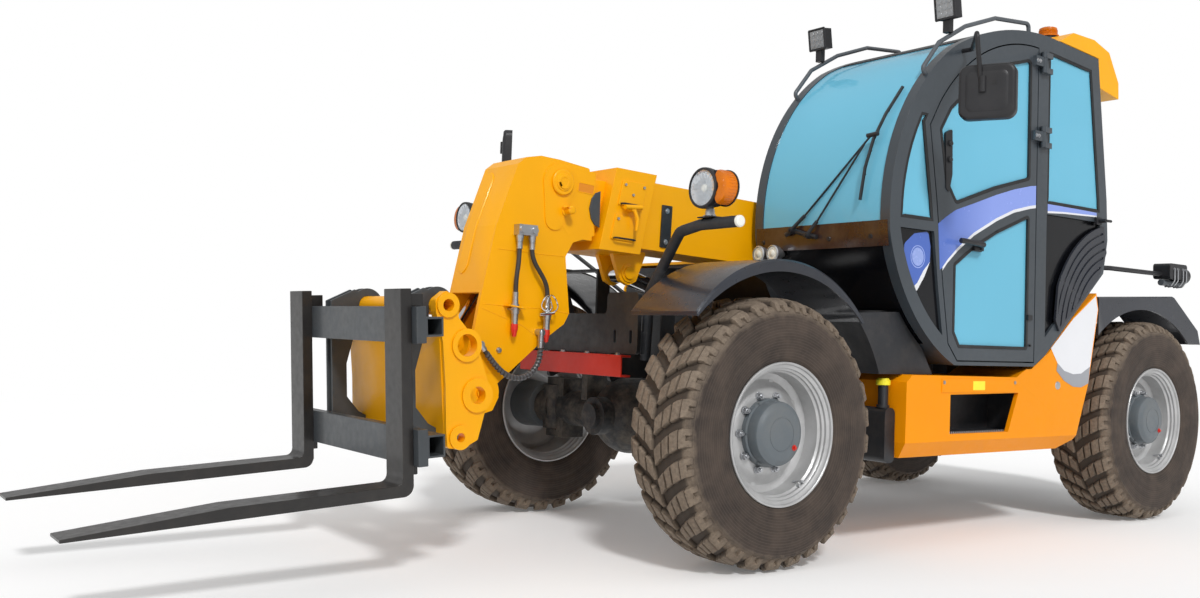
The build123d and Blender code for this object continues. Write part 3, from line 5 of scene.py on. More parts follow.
import bmesh
import bpy
from mathutils import Matrix, Vector

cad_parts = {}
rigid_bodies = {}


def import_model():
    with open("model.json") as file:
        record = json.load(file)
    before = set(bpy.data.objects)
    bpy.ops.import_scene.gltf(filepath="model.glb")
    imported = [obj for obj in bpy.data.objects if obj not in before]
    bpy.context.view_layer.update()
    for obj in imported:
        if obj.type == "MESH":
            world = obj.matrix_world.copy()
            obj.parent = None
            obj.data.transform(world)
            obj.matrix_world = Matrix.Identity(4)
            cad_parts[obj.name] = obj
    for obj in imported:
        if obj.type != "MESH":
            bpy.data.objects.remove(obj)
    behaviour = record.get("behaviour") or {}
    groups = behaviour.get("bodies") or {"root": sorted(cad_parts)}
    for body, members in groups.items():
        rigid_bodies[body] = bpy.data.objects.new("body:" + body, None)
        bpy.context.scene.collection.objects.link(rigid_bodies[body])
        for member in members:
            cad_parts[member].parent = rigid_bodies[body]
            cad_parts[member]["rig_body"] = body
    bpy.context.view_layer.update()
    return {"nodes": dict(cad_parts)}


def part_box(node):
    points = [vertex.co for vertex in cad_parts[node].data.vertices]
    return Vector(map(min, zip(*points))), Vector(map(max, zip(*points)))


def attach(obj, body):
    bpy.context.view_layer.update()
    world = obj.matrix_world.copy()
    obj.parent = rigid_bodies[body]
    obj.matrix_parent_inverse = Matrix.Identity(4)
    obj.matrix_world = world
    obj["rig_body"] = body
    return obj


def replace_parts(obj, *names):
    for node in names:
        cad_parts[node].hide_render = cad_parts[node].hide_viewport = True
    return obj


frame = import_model()
NODES = frame["nodes"]

# Shapes below are measured in metres from the front axle, on the ground, as in the part's source.
# SHIFT moves them to the machine's middle, which is the row's origin.
SHIFT = 0.661
WHEELBASE = 3.14
TYRE_R = 0.59
WHEEL_Y = 0.885
SIDES = (("left", 1), ("right", -1))
RISE = math.radians(2.2)       # the boom's slope at rest
BOOM_Z = 1.584                 # height of the boom's axis over the front axle
CAB_Y = 0.632                  # the middle of the cab
DOOR_FACE = 1.075              # Y of the outer face of the door and the window rails
PANEL_FACE = 1.06              # Y of the outer face of the panels below the windows and of the side box


# ---------------------------------------------------------------- materials
def new_material(name):
    mat = bpy.data.materials.new(name)
    mat.use_nodes = True
    tree = mat.node_tree
    return mat, tree, tree.nodes["Principled BSDF"]


def add(tree, kind, **values):
    node = tree.nodes.new(kind)
    for key, value in values.items():
        if key in node.inputs:
            node.inputs[key].default_value = value
        else:
            setattr(node, key, value)
    return node


def object_point(tree):
    """A point's place in object space, in metres."""
    return add(tree, "ShaderNodeTexCoord").outputs["Object"]


def axes(tree):
    split = add(tree, "ShaderNodeSeparateXYZ")
    tree.links.new(object_point(tree), split.inputs["Vector"])
    return split.outputs["X"], split.outputs["Y"], split.outputs["Z"]


def texture(tree, kind, output, **values):
    node = add(tree, kind, **values)
    tree.links.new(object_point(tree), node.inputs["Vector"])
    return node.outputs[output]


def noise(tree, scale, detail=4.0, roughness=0.55):
    return texture(tree, "ShaderNodeTexNoise", "Fac", Scale=scale, Detail=detail, Roughness=roughness)


def length(tree, vector):
    node = add(tree, "ShaderNodeVectorMath", operation="LENGTH")
    tree.links.new(vector, node.inputs[0])
    return node.outputs["Value"]


def ramp(tree, source, low, high, value_low=0.0, value_high=1.0):
    node = add(tree, "ShaderNodeMapRange")
    node.inputs["From Min"].default_value = low
    node.inputs["From Max"].default_value = high
    node.inputs["To Min"].default_value = value_low
    node.inputs["To Max"].default_value = value_high
    tree.links.new(source, node.inputs["Value"])
    return node.outputs["Result"]


def mix(tree, factor, a, b):
    """Colour mix; a and b are colours or sockets, factor a number or a socket."""
    node = tree.nodes.new("ShaderNodeMix")
    node.data_type = "RGBA"
    for socket, value in ((node.inputs["Factor"], factor), (node.inputs["A"], a), (node.inputs["B"], b)):
        if isinstance(value, bpy.types.NodeSocket):
            tree.links.new(value, socket)
        else:
            socket.default_value = value if isinstance(value, float) else (*value, 1.0)
    return node.outputs["Result"]


def combine(tree, operation, a, b=0.0):
    node = add(tree, "ShaderNodeMath", operation=operation)
    for socket, value in zip(node.inputs, (a, b)):
        if isinstance(value, bpy.types.NodeSocket):
            tree.links.new(value, socket)
        else:
            socket.default_value = value
    return node.outputs["Value"]


def edge_wear(tree, radius):
    """1 near sharp edges, from how far a rounded normal turns from the true one."""
    bevel = add(tree, "ShaderNodeBevel", samples=4)
    bevel.inputs["Radius"].default_value = radius
    geometry = add(tree, "ShaderNodeNewGeometry")
    dot = add(tree, "ShaderNodeVectorMath", operation="DOT_PRODUCT")
    tree.links.new(bevel.outputs["Normal"], dot.inputs[0])
    tree.links.new(geometry.outputs["Normal"], dot.inputs[1])
    return ramp(tree, dot.outputs["Value"], 0.98, 0.8)


def bump(tree, shader, height, distance, strength=1.0):
    node = add(tree, "ShaderNodeBump", Strength=strength, Distance=distance)
    tree.links.new(height, node.inputs["Height"])
    tree.links.new(node.outputs["Normal"], shader.inputs["Normal"])


def finish(tree, shader, base, source, low, high):
    """Sets the base colour and a roughness that wanders between two values with a noise."""
    tree.links.new(base, shader.inputs["Base Color"])
    tree.links.new(ramp(tree, source, 0.3, 0.7, low, high), shader.inputs["Roughness"])


def paint(name, color, rough=0.35, coat=0.35, shade=0.82, wear=0.0, wear_color=(0.12, 0.11, 0.1), grain=0.0004,
          dust=0.0, dust_color=(0.3, 0.25, 0.19), specular=0.5):
    """Sprayed paint: slow colour variation, fine orange peel, dust in patches and wear along edges."""
    mat, tree, shader = new_material(name)
    tone = ramp(tree, noise(tree, 2.2, 5.0), 0.35, 0.65)
    base = mix(tree, tone, tuple(c * shade for c in color), color)
    if dust:
        patches = ramp(tree, noise(tree, 7.0, 8.0, roughness=0.7), 0.45, 0.75, 0.0, dust)
        base = mix(tree, patches, base, dust_color)
    if wear:
        edges = combine(tree, "MULTIPLY", edge_wear(tree, 0.004), ramp(tree, noise(tree, 45.0, 6.0), 0.42, 0.6))
        base = mix(tree, combine(tree, "MULTIPLY", edges, wear), base, wear_color)
    finish(tree, shader, base, noise(tree, 30.0, 6.0), rough * 0.85, min(1.0, rough * 1.25))
    shader.inputs["Coat Weight"].default_value = coat
    shader.inputs["Coat Roughness"].default_value = 0.12
    shader.inputs["Specular IOR Level"].default_value = specular
    bump(tree, shader, noise(tree, 260.0, 2.0), grain, 0.35)
    return mat


def plastic(name, color, rough=0.48, grain=0.0006, dust=0.12):
    """Moulded plastic with a fine leather grain and a trace of dust."""
    mat, tree, shader = new_material(name)
    cells = texture(tree, "ShaderNodeTexVoronoi", "Distance", Scale=520.0)
    tone = ramp(tree, noise(tree, 3.0, 6.0), 0.35, 0.7)
    base = mix(tree, tone, color, tuple(min(1.0, c * 1.6 + 0.004) for c in color))
    patches = ramp(tree, noise(tree, 9.0, 8.0, roughness=0.7), 0.48, 0.8, 0.0, dust)
    base = mix(tree, patches, base, (0.24, 0.2, 0.16))
    finish(tree, shader, base, noise(tree, 14.0, 6.0), rough * 0.85, rough * 1.2)
    bump(tree, shader, cells, grain, 0.5)
    return mat


def metal(name, color, rough=0.25, metallic=1.0, scratch=0.5, variation=0.8):
    """Bare, plated or silver-sprayed metal with fine scratches."""
    mat, tree, shader = new_material(name)
    lines = noise(tree, 90.0, 5.0)
    tone = ramp(tree, noise(tree, 6.0, 6.0), 0.35, 0.7)
    base = mix(tree, tone, tuple(c * variation for c in color), color)
    finish(tree, shader, base, lines, rough * (1 - scratch / 2), rough * (1 + scratch))
    shader.inputs["Metallic"].default_value = metallic
    bump(tree, shader, lines, 0.0003, 0.25)
    return mat


def glass(name, color, alpha, rough=0.04):
    """Pane mostly of its base colour, partly clear, with faint streaks in its gloss."""
    mat, tree, shader = new_material(name)
    tone = ramp(tree, noise(tree, 1.3, 2.0), 0.35, 0.7)
    base = mix(tree, tone, tuple(c * 0.96 for c in color), color)
    finish(tree, shader, base, noise(tree, 5.0, 4.0), rough, rough * 2.5)
    shader.inputs["Alpha"].default_value = alpha
    return mat


def film_blue(name):
    """Blue film, deep at its front end and paler towards the rear."""
    mat, tree, shader = new_material(name)
    x = axes(tree)[0]
    along = ramp(tree, combine(tree, "ADD", x, ramp(tree, noise(tree, 3.0), 0.3, 0.7, -0.03, 0.03)), -0.95, -1.45)
    finish(tree, shader, mix(tree, along, (0.06, 0.135, 0.5), (0.245, 0.34, 0.8)), noise(tree, 20.0), 0.18, 0.28)
    shader.inputs["Coat Weight"].default_value = 0.4
    return mat


def rubber(name):
    """Tyre rubber: brown-black side walls with rings, a dusty tan tread and painted shade between its lugs. Object
    space is the wheel's.
    """
    mat, tree, shader = new_material(name)
    x, y, z = axes(tree)
    flat = add(tree, "ShaderNodeCombineXYZ")
    tree.links.new(x, flat.inputs["X"])
    tree.links.new(z, flat.inputs["Y"])
    radius = length(tree, flat.outputs["Vector"])
    fine = noise(tree, 60.0, 8.0, roughness=0.7)
    coarse = noise(tree, 9.0, 7.0, roughness=0.65)
    wall = mix(tree, ramp(tree, coarse, 0.35, 0.7), (0.036, 0.026, 0.021), (0.078, 0.056, 0.043))
    rings = combine(tree, "SINE", combine(tree, "MULTIPLY", radius, 520.0))
    wall = mix(tree, ramp(tree, rings, 0.8, 1.0, 0.0, 0.45), wall, (0.135, 0.104, 0.08))
    tread = mix(tree, ramp(tree, fine, 0.3, 0.7), (0.125, 0.094, 0.068), (0.25, 0.195, 0.144))
    tread = mix(tree, ramp(tree, coarse, 0.5, 0.75, 0.0, 0.4), tread, (0.095, 0.07, 0.05))
    across = combine(tree, "ABSOLUTE", y)
    # Painted shade: darker colour low on the lugs and on the tread between them.
    groove_shade = combine(tree, "MULTIPLY", ramp(tree, radius, 0.58, 0.568), ramp(tree, across, 0.155, 0.14))
    tread = mix(tree, groove_shade, tread, (0.06, 0.044, 0.032))
    ragged = combine(tree, "ADD", radius, ramp(tree, coarse, 0.3, 0.7, -0.016, 0.016))
    tree.links.new(mix(tree, ramp(tree, ragged, 0.505, 0.545), wall, tread), shader.inputs["Base Color"])
    shader.inputs["Roughness"].default_value = 0.82
    ridges = combine(tree, "SINE", combine(tree, "MULTIPLY", radius, 1400.0))
    ridges = combine(tree, "MULTIPLY", combine(tree, "MULTIPLY", ridges, ramp(tree, radius, 0.47, 0.45)), 0.35)
    bump(tree, shader, combine(tree, "ADD", ridges, fine), 0.0016, 0.6)
    return mat


def fabric(name, color):
    """Woven cloth: threads both ways."""
    mat, tree, shader = new_material(name)
    warp, weft = (texture(tree, "ShaderNodeTexWave", "Fac", Scale=240.0, Distortion=0.6, Detail=1.0,
                          bands_direction=direction) for direction in ("X", "Y"))
    threads = combine(tree, "MAXIMUM", warp, weft)
    tree.links.new(mix(tree, threads, tuple(c * 0.5 for c in color), color), shader.inputs["Base Color"])
    shader.inputs["Roughness"].default_value = 0.9
    shader.inputs["Sheen Weight"].default_value = 0.25
    bump(tree, shader, threads, 0.0008, 0.6)
    return mat


MATS = {
    "paint_yellow": paint("yellow_paint", (1.0, 0.445, 0.0), 0.36, 0.12, 0.94, specular=0.25),
    "frame_black": paint("chassis_black", (0.014, 0.015, 0.017), 0.5, 0.1, 0.7, dust=0.07),
    "cast_black": paint("casting_black", (0.018, 0.018, 0.019), 0.62, 0.0, 0.6, grain=0.002, dust=0.45),
    "panel_black": plastic("moulded_black", (0.012, 0.013, 0.016)),
    "cap_yellow": plastic("cap_yellow", (0.85, 0.6, 0.02), 0.35, 0.0002, 0.05),
    "beam_red": paint("beam_red", (0.56, 0.02, 0.006), 0.4, 0.08, 0.75, wear=0.4, dust=0.03, specular=0.3),
    "cylinder_black": paint("cylinder_black", (0.02, 0.02, 0.022), 0.35, 0.3, 0.8, dust=0.1),
    "rod_chrome": metal("chrome", (0.82, 0.83, 0.85), 0.09, 1.0, 0.3),
    "carriage_grey": paint("carriage_grey", (0.052, 0.06, 0.067), 0.42, 0.2, 0.8, wear=0.4,
                           wear_color=(0.22, 0.22, 0.22), dust=0.1),
    "fork_steel": paint("fork_steel", (0.017, 0.015, 0.014), 0.36, 0.2, 0.7, wear=0.6,
                        wear_color=(0.14, 0.12, 0.1), dust=0.22, dust_color=(0.075, 0.06, 0.047)),
    "cab_grey": paint("cab_grey", (0.046, 0.058, 0.07), 0.38, 0.3, 0.85),
    # The cab panes' sky blue is a painted reflection of the sky.
    "cab_glass": glass("cab_glass", (0.205, 0.64, 0.86), 0.74),
    "seat_fabric": fabric("seat_fabric", (0.035, 0.035, 0.04)),
    "rim_silver": metal("rim_silver", (0.6, 0.6, 0.6), 0.42, 0.55, 0.3, variation=0.75),
    "tyre_rubber": rubber("tyre_rubber"),
    "hub_grey": paint("hub_grey", (0.125, 0.148, 0.165), 0.42, 0.2, 0.85, dust=0.18),
    "zinc": metal("zinc", (0.55, 0.56, 0.58), 0.32, 0.9, 0.4),
    "plug_red": plastic("plug_red", (0.55, 0.02, 0.01), 0.35, 0.0002, 0.05),
    "panel_gloss": paint("gloss_black", (0.0045, 0.005, 0.007), 0.16, 0.12, 0.7, dust=0.01, specular=0.3),
    "hose_rubber": plastic("hose_rubber", (0.03, 0.026, 0.024), 0.55, 0.0004, 0.1),
    "seal_rubber": plastic("seal_rubber", (0.008, 0.008, 0.009), 0.5, 0.0003, 0.05),
    "fender_black": paint("fender_black", (0.021, 0.025, 0.036), 0.3, 0.3, 0.75, grain=0.0008, dust=0.03),
    "lamp_black": plastic("lamp_black", (0.01, 0.01, 0.012), 0.42, 0.0003, 0.04),
    "pole_grey": paint("pole_grey", (0.026, 0.03, 0.036), 0.62, 0.0, 0.8, dust=0.05),
    # Side box yellow, darker and more orange than paint_yellow: partly a paint of its own, partly painted shade.
    "box_yellow_and_shade": paint("box_yellow_and_shade", (0.96, 0.318, 0.0), 0.4, 0.05, 0.94, specular=0.15),
    "rail_grey": paint("rail_grey", (0.085, 0.098, 0.112), 0.45, 0.2, 0.85),
    "beam_black": paint("beam_black", (0.014, 0.015, 0.018), 0.45, 0.15, 0.75, dust=0.12),
    "lens_clear": glass("lens_clear", (0.8, 0.85, 0.9), 0.35, 0.03),
    "amber": paint("amber_lens", (0.86, 0.215, 0.0), 0.2, 0.1, 0.5, grain=0.002, specular=0.3),
    "cream": plastic("cream_cap", (0.72, 0.72, 0.6), 0.35, 0.0002, 0.05),
    "led_face": paint("led_face", (0.34, 0.35, 0.36), 0.25, 0.4, 0.6, grain=0.003),
    "mirror_glass": metal("mirror_glass", (0.8, 0.83, 0.86), 0.04, 1.0, 0.2),
    "screen_band": paint("screen_band", (0.052, 0.026, 0.022), 0.16, 0.5, 0.6, dust=0.1),
    "white_film": paint("white_film", (0.8, 0.81, 0.84), 0.45, 0.05, 0.96, grain=0.00003, specular=0.2),
    "grey_film": paint("grey_film", (0.36, 0.37, 0.4), 0.45, 0.05, 0.9, grain=0.00003, specular=0.2),
    # Yellow paint darkened to orange: painted shade in the head's recess.
    "recess_painted_shade": paint("recess_painted_shade", (0.85, 0.28, 0.0), 0.4, 0.3, 0.9),
    # Black spiral wrap lightened to grey: painted sheen.
    "wrap_sheen_grey": plastic("wrap_sheen_grey", (0.062, 0.062, 0.066), 0.32, 0.0002, 0.04),
    "swoosh": film_blue("swoosh_film"),
    "swoosh_pale": paint("swoosh_pale", (0.3, 0.4, 0.8), 0.25, 0.4, 0.92),
}


# ---------------------------------------------------------------- mesh helpers
class Shape:
    """A mesh under construction. Points are in metres from the front axle."""

    def __init__(self):
        self.bm = bmesh.new()

    def faces(self, points, faces):
        verts = [self.bm.verts.new(p) for p in points]
        for face in faces:
            self.bm.faces.new([verts[i] for i in face])
        return self

    def box(self, x0, x1, y0, y1, z0, z1):
        return self.loft([[(x, y0, z0), (x, y1, z0), (x, y1, z1), (x, y0, z1)] for x in (x0, x1)])

    def prism(self, outline, y0, y1):
        """A plate in the XZ plane between two Y."""
        return self.loft([[(x, y, z) for x, z in outline] for y in (y0, y1)])

    def loft(self, rings, cyclic=False):
        """Skins closed rings of equal counts. cyclic joins the last to the first, or else both ends are filled."""
        rows = [[self.bm.verts.new(p) for p in ring] for ring in rings]
        count = len(rows[0])
        pairs = list(zip(rows, rows[1:])) + ([(rows[-1], rows[0])] if cyclic else [])
        for a, b in pairs:
            for i in range(count):
                j = (i + 1) % count
                self.bm.faces.new((a[i], a[j], b[j], b[i]))
        if not cyclic:
            self.bm.faces.new(rows[0])
            self.bm.faces.new(list(reversed(rows[-1])))
        return self

    def cylinder(self, a, b, r, r2=None, seg=32):
        a, b = Vector(a), Vector(b)
        side = (b - a).orthogonal().normalized()
        up = (b - a).normalized().cross(side)
        r2 = r if r2 is None else r2
        rings = [[p + (side * math.cos(t) + up * math.sin(t)) * q for t in turns(seg)] for p, q in ((a, r), (b, r2))]
        return self.loft(rings)

    def lathe(self, section, axis="Y", centre=(0, 0, 0), seg=96, closed=False):
        """Turns a section of (radius, along) points about an axis. closed joins its last point to the first."""
        c = Vector(centre)
        rows = []
        for t in turns(seg):
            row = []
            for r, h in section:
                u, v = r * math.cos(t), r * math.sin(t)
                p = {"Y": (u, h, v), "X": (h, u, v), "Z": (u, v, h)}[axis]
                row.append(self.bm.verts.new(c + Vector(p)))
            rows.append(row)
        count = len(section)
        for a, b in zip(rows, rows[1:] + rows[:1]):
            for i in range(count if closed else count - 1):
                j = (i + 1) % count
                self.bm.faces.new((a[i], a[j], b[j], b[i]))
        bmesh.ops.remove_doubles(self.bm, verts=self.bm.verts, dist=1e-6)
        return self

    def tube(self, points, r, seg=16, bend=0.0):
        """A round bar along points whose corners are rounded by bend."""
        path = rounded_path([Vector(p) for p in points], bend)
        rings = []
        side = (path[1] - path[0]).orthogonal().normalized()
        for i, p in enumerate(path):
            along = (path[min(i + 1, len(path) - 1)] - path[max(i - 1, 0)]).normalized()
            side = (side - along * side.dot(along)).normalized()
            up = along.cross(side)
            rings.append([p + (side * math.cos(t) + up * math.sin(t)) * r for t in turns(seg)])
        return self.loft(rings)

    def bolt(self, centre, axis, r=0.009, height=0.006, washer=True):
        """Hexagon head on a washer."""
        a = Vector(centre)
        n = Vector(axis).normalized()
        if washer:
            self.cylinder(a, a + n * 0.0015, r * 1.45, seg=20)
        return self.cylinder(a, a + n * (height + 0.0015), r, r * 0.96, seg=6)

    def place(self, centre, side=1):
        """Moves the shape's origin to a centre. side -1 also mirrors it across the machine."""
        for v in self.bm.verts:
            v.co = Vector(centre) + Vector((v.co.x, side * v.co.y, v.co.z))
        return self

    def make(self, name, look, body, slot=None, bevel=0.0, angle=35, origin=(0, 0, 0), segments=2, replaces=()):
        """Turns the shape into a piece that rides on a body. origin is where its object space starts."""
        bmesh.ops.recalc_face_normals(self.bm, faces=self.bm.faces)
        o = Vector(origin)
        for v in self.bm.verts:
            v.co -= o
        obj = mesh_object(self.bm, name, (o.x + SHIFT, o.y, o.z))
        finish_piece(obj, look, body, bevel, angle, segments)
        if replaces:
            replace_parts(obj, *replaces)
        return obj


def new_object(name, data, location=(0, 0, 0)):
    obj = bpy.data.objects.new(name, data)
    obj.location = location
    bpy.context.scene.collection.objects.link(obj)
    return obj


def mesh_object(bm, name, location=(0, 0, 0)):
    mesh = bpy.data.meshes.new(name)
    bm.to_mesh(mesh)
    bm.free()
    return new_object(name, mesh, location)


def node_mesh(node):
    """A CAD node's own mesh with its seams closed."""
    bm = bmesh.new()
    bm.from_mesh(NODES[node].data)
    bmesh.ops.remove_doubles(bm, verts=bm.verts, dist=1e-5)
    return bm


def flatten(bm):
    """Joins the triangles of each flat face."""
    bmesh.ops.dissolve_limit(bm, angle_limit=math.radians(1.0), verts=bm.verts, edges=bm.edges)


def turns(count):
    return [2 * math.pi * i / count for i in range(count)]


def rounded_path(points, bend, step=math.radians(12)):
    """Straight runs with a round corner at each inner point."""
    if bend <= 0 or len(points) < 3:
        return points
    out = [points[0]]
    for a, b, c in zip(points, points[1:], points[2:]):
        u, v = (a - b).normalized(), (c - b).normalized()
        turn = math.pi - u.angle(v)
        if turn < 0.02:
            out.append(b)
            continue
        cut = min(bend * math.tan(turn / 2), 0.45 * (a - b).length, 0.45 * (c - b).length)
        radius = cut / math.tan(turn / 2)
        centre = b + (u + v).normalized() * (radius / math.cos(turn / 2))
        start, end = b + u * cut - centre, b + v * cut - centre
        steps = max(2, int(turn / step) + 1)
        for i in range(steps + 1):
            out.append(centre + start.slerp(end, i / steps, end).normalized() * radius)
    return out + [points[-1]]


def finish_piece(obj, look, body, bevel=0.0, angle=35, segments=2):
    """Gives a piece its look, soft edges up to an angle and its body."""
    obj.data.materials.clear()
    obj.data.materials.append(MATS[look])
    obj.data.polygons.foreach_set("use_smooth", [True] * len(obj.data.polygons))
    obj.data.set_sharp_from_angle(angle=math.radians(angle))
    if bevel:
        cut = obj.modifiers.new("edges", "BEVEL")
        cut.width, cut.segments, cut.limit_method = bevel, segments, "ANGLE"
        cut.angle_limit = math.radians(angle)
        cut.harden_normals = True
    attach(obj, body)


def round_corner(bm, x, z, reach, radius):
    """Bends the corner whose edges run along Y near a point of the XZ plane."""
    edges = []
    for edge in bm.edges:
        a, b = (v.co for v in edge.verts)
        mid = (a + b) / 2
        if abs(b.y - a.y) > 0.9 * (b - a).length and math.hypot(mid.x - x, mid.z - z) < reach:
            edges.append(edge)
    bmesh.ops.bevel(bm, geom=edges, offset=radius, segments=5, profile=0.5, affect="EDGES", clamp_overlap=True)


def refined(node, look, width, name=None, keep=None, bends=()):
    """A CAD node's own shape with its edges rounded off, standing for that node unless only part of it is kept."""
    bm = node_mesh(node)
    if keep:
        gone = [f for f in bm.faces if not keep(f.calc_center_median() - Vector((SHIFT, 0, 0)))]
        bmesh.ops.delete(bm, geom=gone, context="FACES")
    flatten(bm)
    for v in bm.verts:
        v.co.x -= SHIFT
    for bend in bends:
        round_corner(bm, *bend)
    obj = mesh_object(bm, name or node + "_shown", (SHIFT, 0, 0))
    finish_piece(obj, look, NODES[node]["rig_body"], bevel=width, angle=30)
    if not keep:
        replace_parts(obj, node)
    return obj


# ---------------------------------------------------------------- wheels
# Sections are (radius, half-width) points of the tyre and (radius, distance outward) points of the wheel's parts.
LUG_ROWS = 29
LUG_SWEEP = 0.172              # how far a lug's inner end runs ahead of its shoulder, in radians
CROWN = [(0.0, 0.59), (0.09, 0.5895), (0.125, 0.587), (0.152, 0.577), (0.174, 0.558), (0.185, 0.536), (0.188, 0.521)]
CARCASS = [(0.3003, 0.1515), (0.311, 0.166), (0.33, 0.179), (0.346, 0.185), (0.349, 0.1838), (0.38, 0.1905),
           (0.408, 0.194), (0.411, 0.1926), (0.4145, 0.1944), (0.455, 0.1948), (0.458, 0.1934), (0.4615, 0.1944),
           (0.49, 0.1915), (0.51, 0.1885), (0.513, 0.1902), (0.5165, 0.1902), (0.5195, 0.1862), (0.53, 0.176),
           (0.545, 0.159), (0.556, 0.136), (0.562, 0.105), (0.564, 0.05), (0.5645, 0.0)]
# Blocks of a lug from the middle outward, as inner and outer half-width and thickness
LUG_BLOCKS = ((0.006, 0.05, 0.066), (0.055, 0.096, 0.072), (0.101, 0.148, 0.078))
LUG_DEPTH = 0.03


def crown_at(w):
    """Radius of the tread's outer surface and its outward tilt at half-width w."""
    for (w0, r0), (w1, r1) in zip(CROWN, CROWN[1:]):
        if w <= w1:
            t = (w - w0) / (w1 - w0)
            return r0 + (r1 - r0) * t, math.atan2(r0 - r1, w1 - w0)
    return CROWN[-1][1], 1.2


def lug_angle(w):
    """Where along the tread a lug is at half-width w, ahead of its shoulder."""
    t = max(0.0, min(1.0, 1 - w / 0.168))
    return LUG_SWEEP * (0.55 * t + 0.45 * t * t)


def lug_block(shape, angle, side, w_in, w_out, thick, depth, rnd, draft=0.006):
    """One block of a lug between two half-widths, thicker at its root than at its top."""
    rings = []
    for w, inset in ((w_in, 0.003), ((w_in + w_out) / 2, 0.0), (w_out, -0.003)):
        r, tilt = crown_at(w)
        ring = []
        for half, top in ((-1, False), (-1, True), (1, True), (1, False)):
            down = 0.0 if top else depth
            rr = r - down * math.cos(tilt) + (rnd.uniform(-0.0022, -0.0002) if top else 0.0)
            ww = w - down * math.sin(tilt) + (inset if top else 0.0)
            t = angle - lug_angle(w) - half * (thick / 2 + (0.0 if top else draft)) / rr
            ring.append((rr * math.cos(t), side * ww, rr * math.sin(t)))
        rings.append(ring)
    shape.loft(rings)


def tyre(name, centre, body, node):
    """Carcass and the chevron lugs of its tread: each is three blocks, a shoulder and two ribs beside it."""
    inner = [(0.3003, 0.126), (0.35, 0.15), (0.45, 0.168), (0.53, 0.14)]
    section = CARCASS + mirrored(CARCASS[:-1]) + [(r, -y) for r, y in inner] + [(0.545, 0.0)] + inner[::-1]
    carcass = Shape().lathe(section, seg=144, closed=True).place(centre)
    carcass.make(name, "tyre_rubber", body, origin=centre, angle=60, replaces=[node])
    rnd = random.Random(7)
    lugs = Shape()
    pitch = 2 * math.pi / LUG_ROWS
    for half in (1, -1):
        for i in range(LUG_ROWS):
            a = pitch * (i + (0.5 if half < 0 else 0.0))
            for block in LUG_BLOCKS:
                lug_block(lugs, a, half, *block, LUG_DEPTH, rnd)
            for rib in (-1, 1):
                lug_block(lugs, a + rib * 0.043, half, 0.146, 0.1865, 0.026, 0.022, rnd, 0.005)
            lug_block(lugs, a, half, 0.146, 0.174, 0.044, LUG_DEPTH, rnd, 0.012)
    lugs.place(centre).make(name + "_tread", "tyre_rubber", body, origin=centre, bevel=0.0028, angle=40, segments=1)


def mirrored(section):
    """A section of (radius, along) points from the other side, in reverse."""
    return [(r, -y) for r, y in reversed(section)]


def studs(shape, angles, ring, y, steps):
    """Stacked round or hexagonal steps (end, radius, end radius, sides) from a plane, on a circle of a radius."""
    for t in angles:
        x, z = ring * math.cos(t), ring * math.sin(t)
        for end, r, r2, seg in steps:
            shape.cylinder((x, y, z), (x, end, z), r, r2, seg)
    return shape


RIM = [(0.3118, 0.1735), (0.3095, 0.1765), (0.3045, 0.1765), (0.301, 0.1735), (0.2985, 0.165), (0.29, 0.162),
       (0.285, 0.1585), (0.2838, 0.149), (0.28, 0.1455), (0.2745, 0.143), (0.2735, 0.132), (0.27, 0.128),
       (0.265, 0.124), (0.263, 0.09), (0.26, 0.07)]
RIM_BACK = [(0.272, 0.066), (0.2755, 0.09), (0.276, 0.118), (0.286, 0.129), (0.2955, 0.135),
            (0.2998, 0.142), (0.2998, 0.154), (0.303, 0.164), (0.3118, 0.168)]
DISC = [(0.26, 0.056), (0.248, 0.05), (0.23, 0.042), (0.205, 0.05), (0.188, 0.066), (0.17, 0.07),
        (0.13, 0.07), (0.13, 0.042), (0.17, 0.044), (0.185, 0.04), (0.205, 0.022), (0.23, 0.014),
        (0.256, 0.022), (0.264, 0.03), (0.264, 0.056)]
HUB = [(0.0, 0.165), (0.06, 0.1648), (0.104, 0.164), (0.116, 0.161), (0.122, 0.156), (0.1355, 0.148),
       (0.1395, 0.14), (0.14, 0.096), (0.148, 0.092), (0.15, 0.086), (0.15, 0.07), (0.13, 0.065),
       (0.13, 0.03), (0.12, -0.14), (0.0, -0.14)]


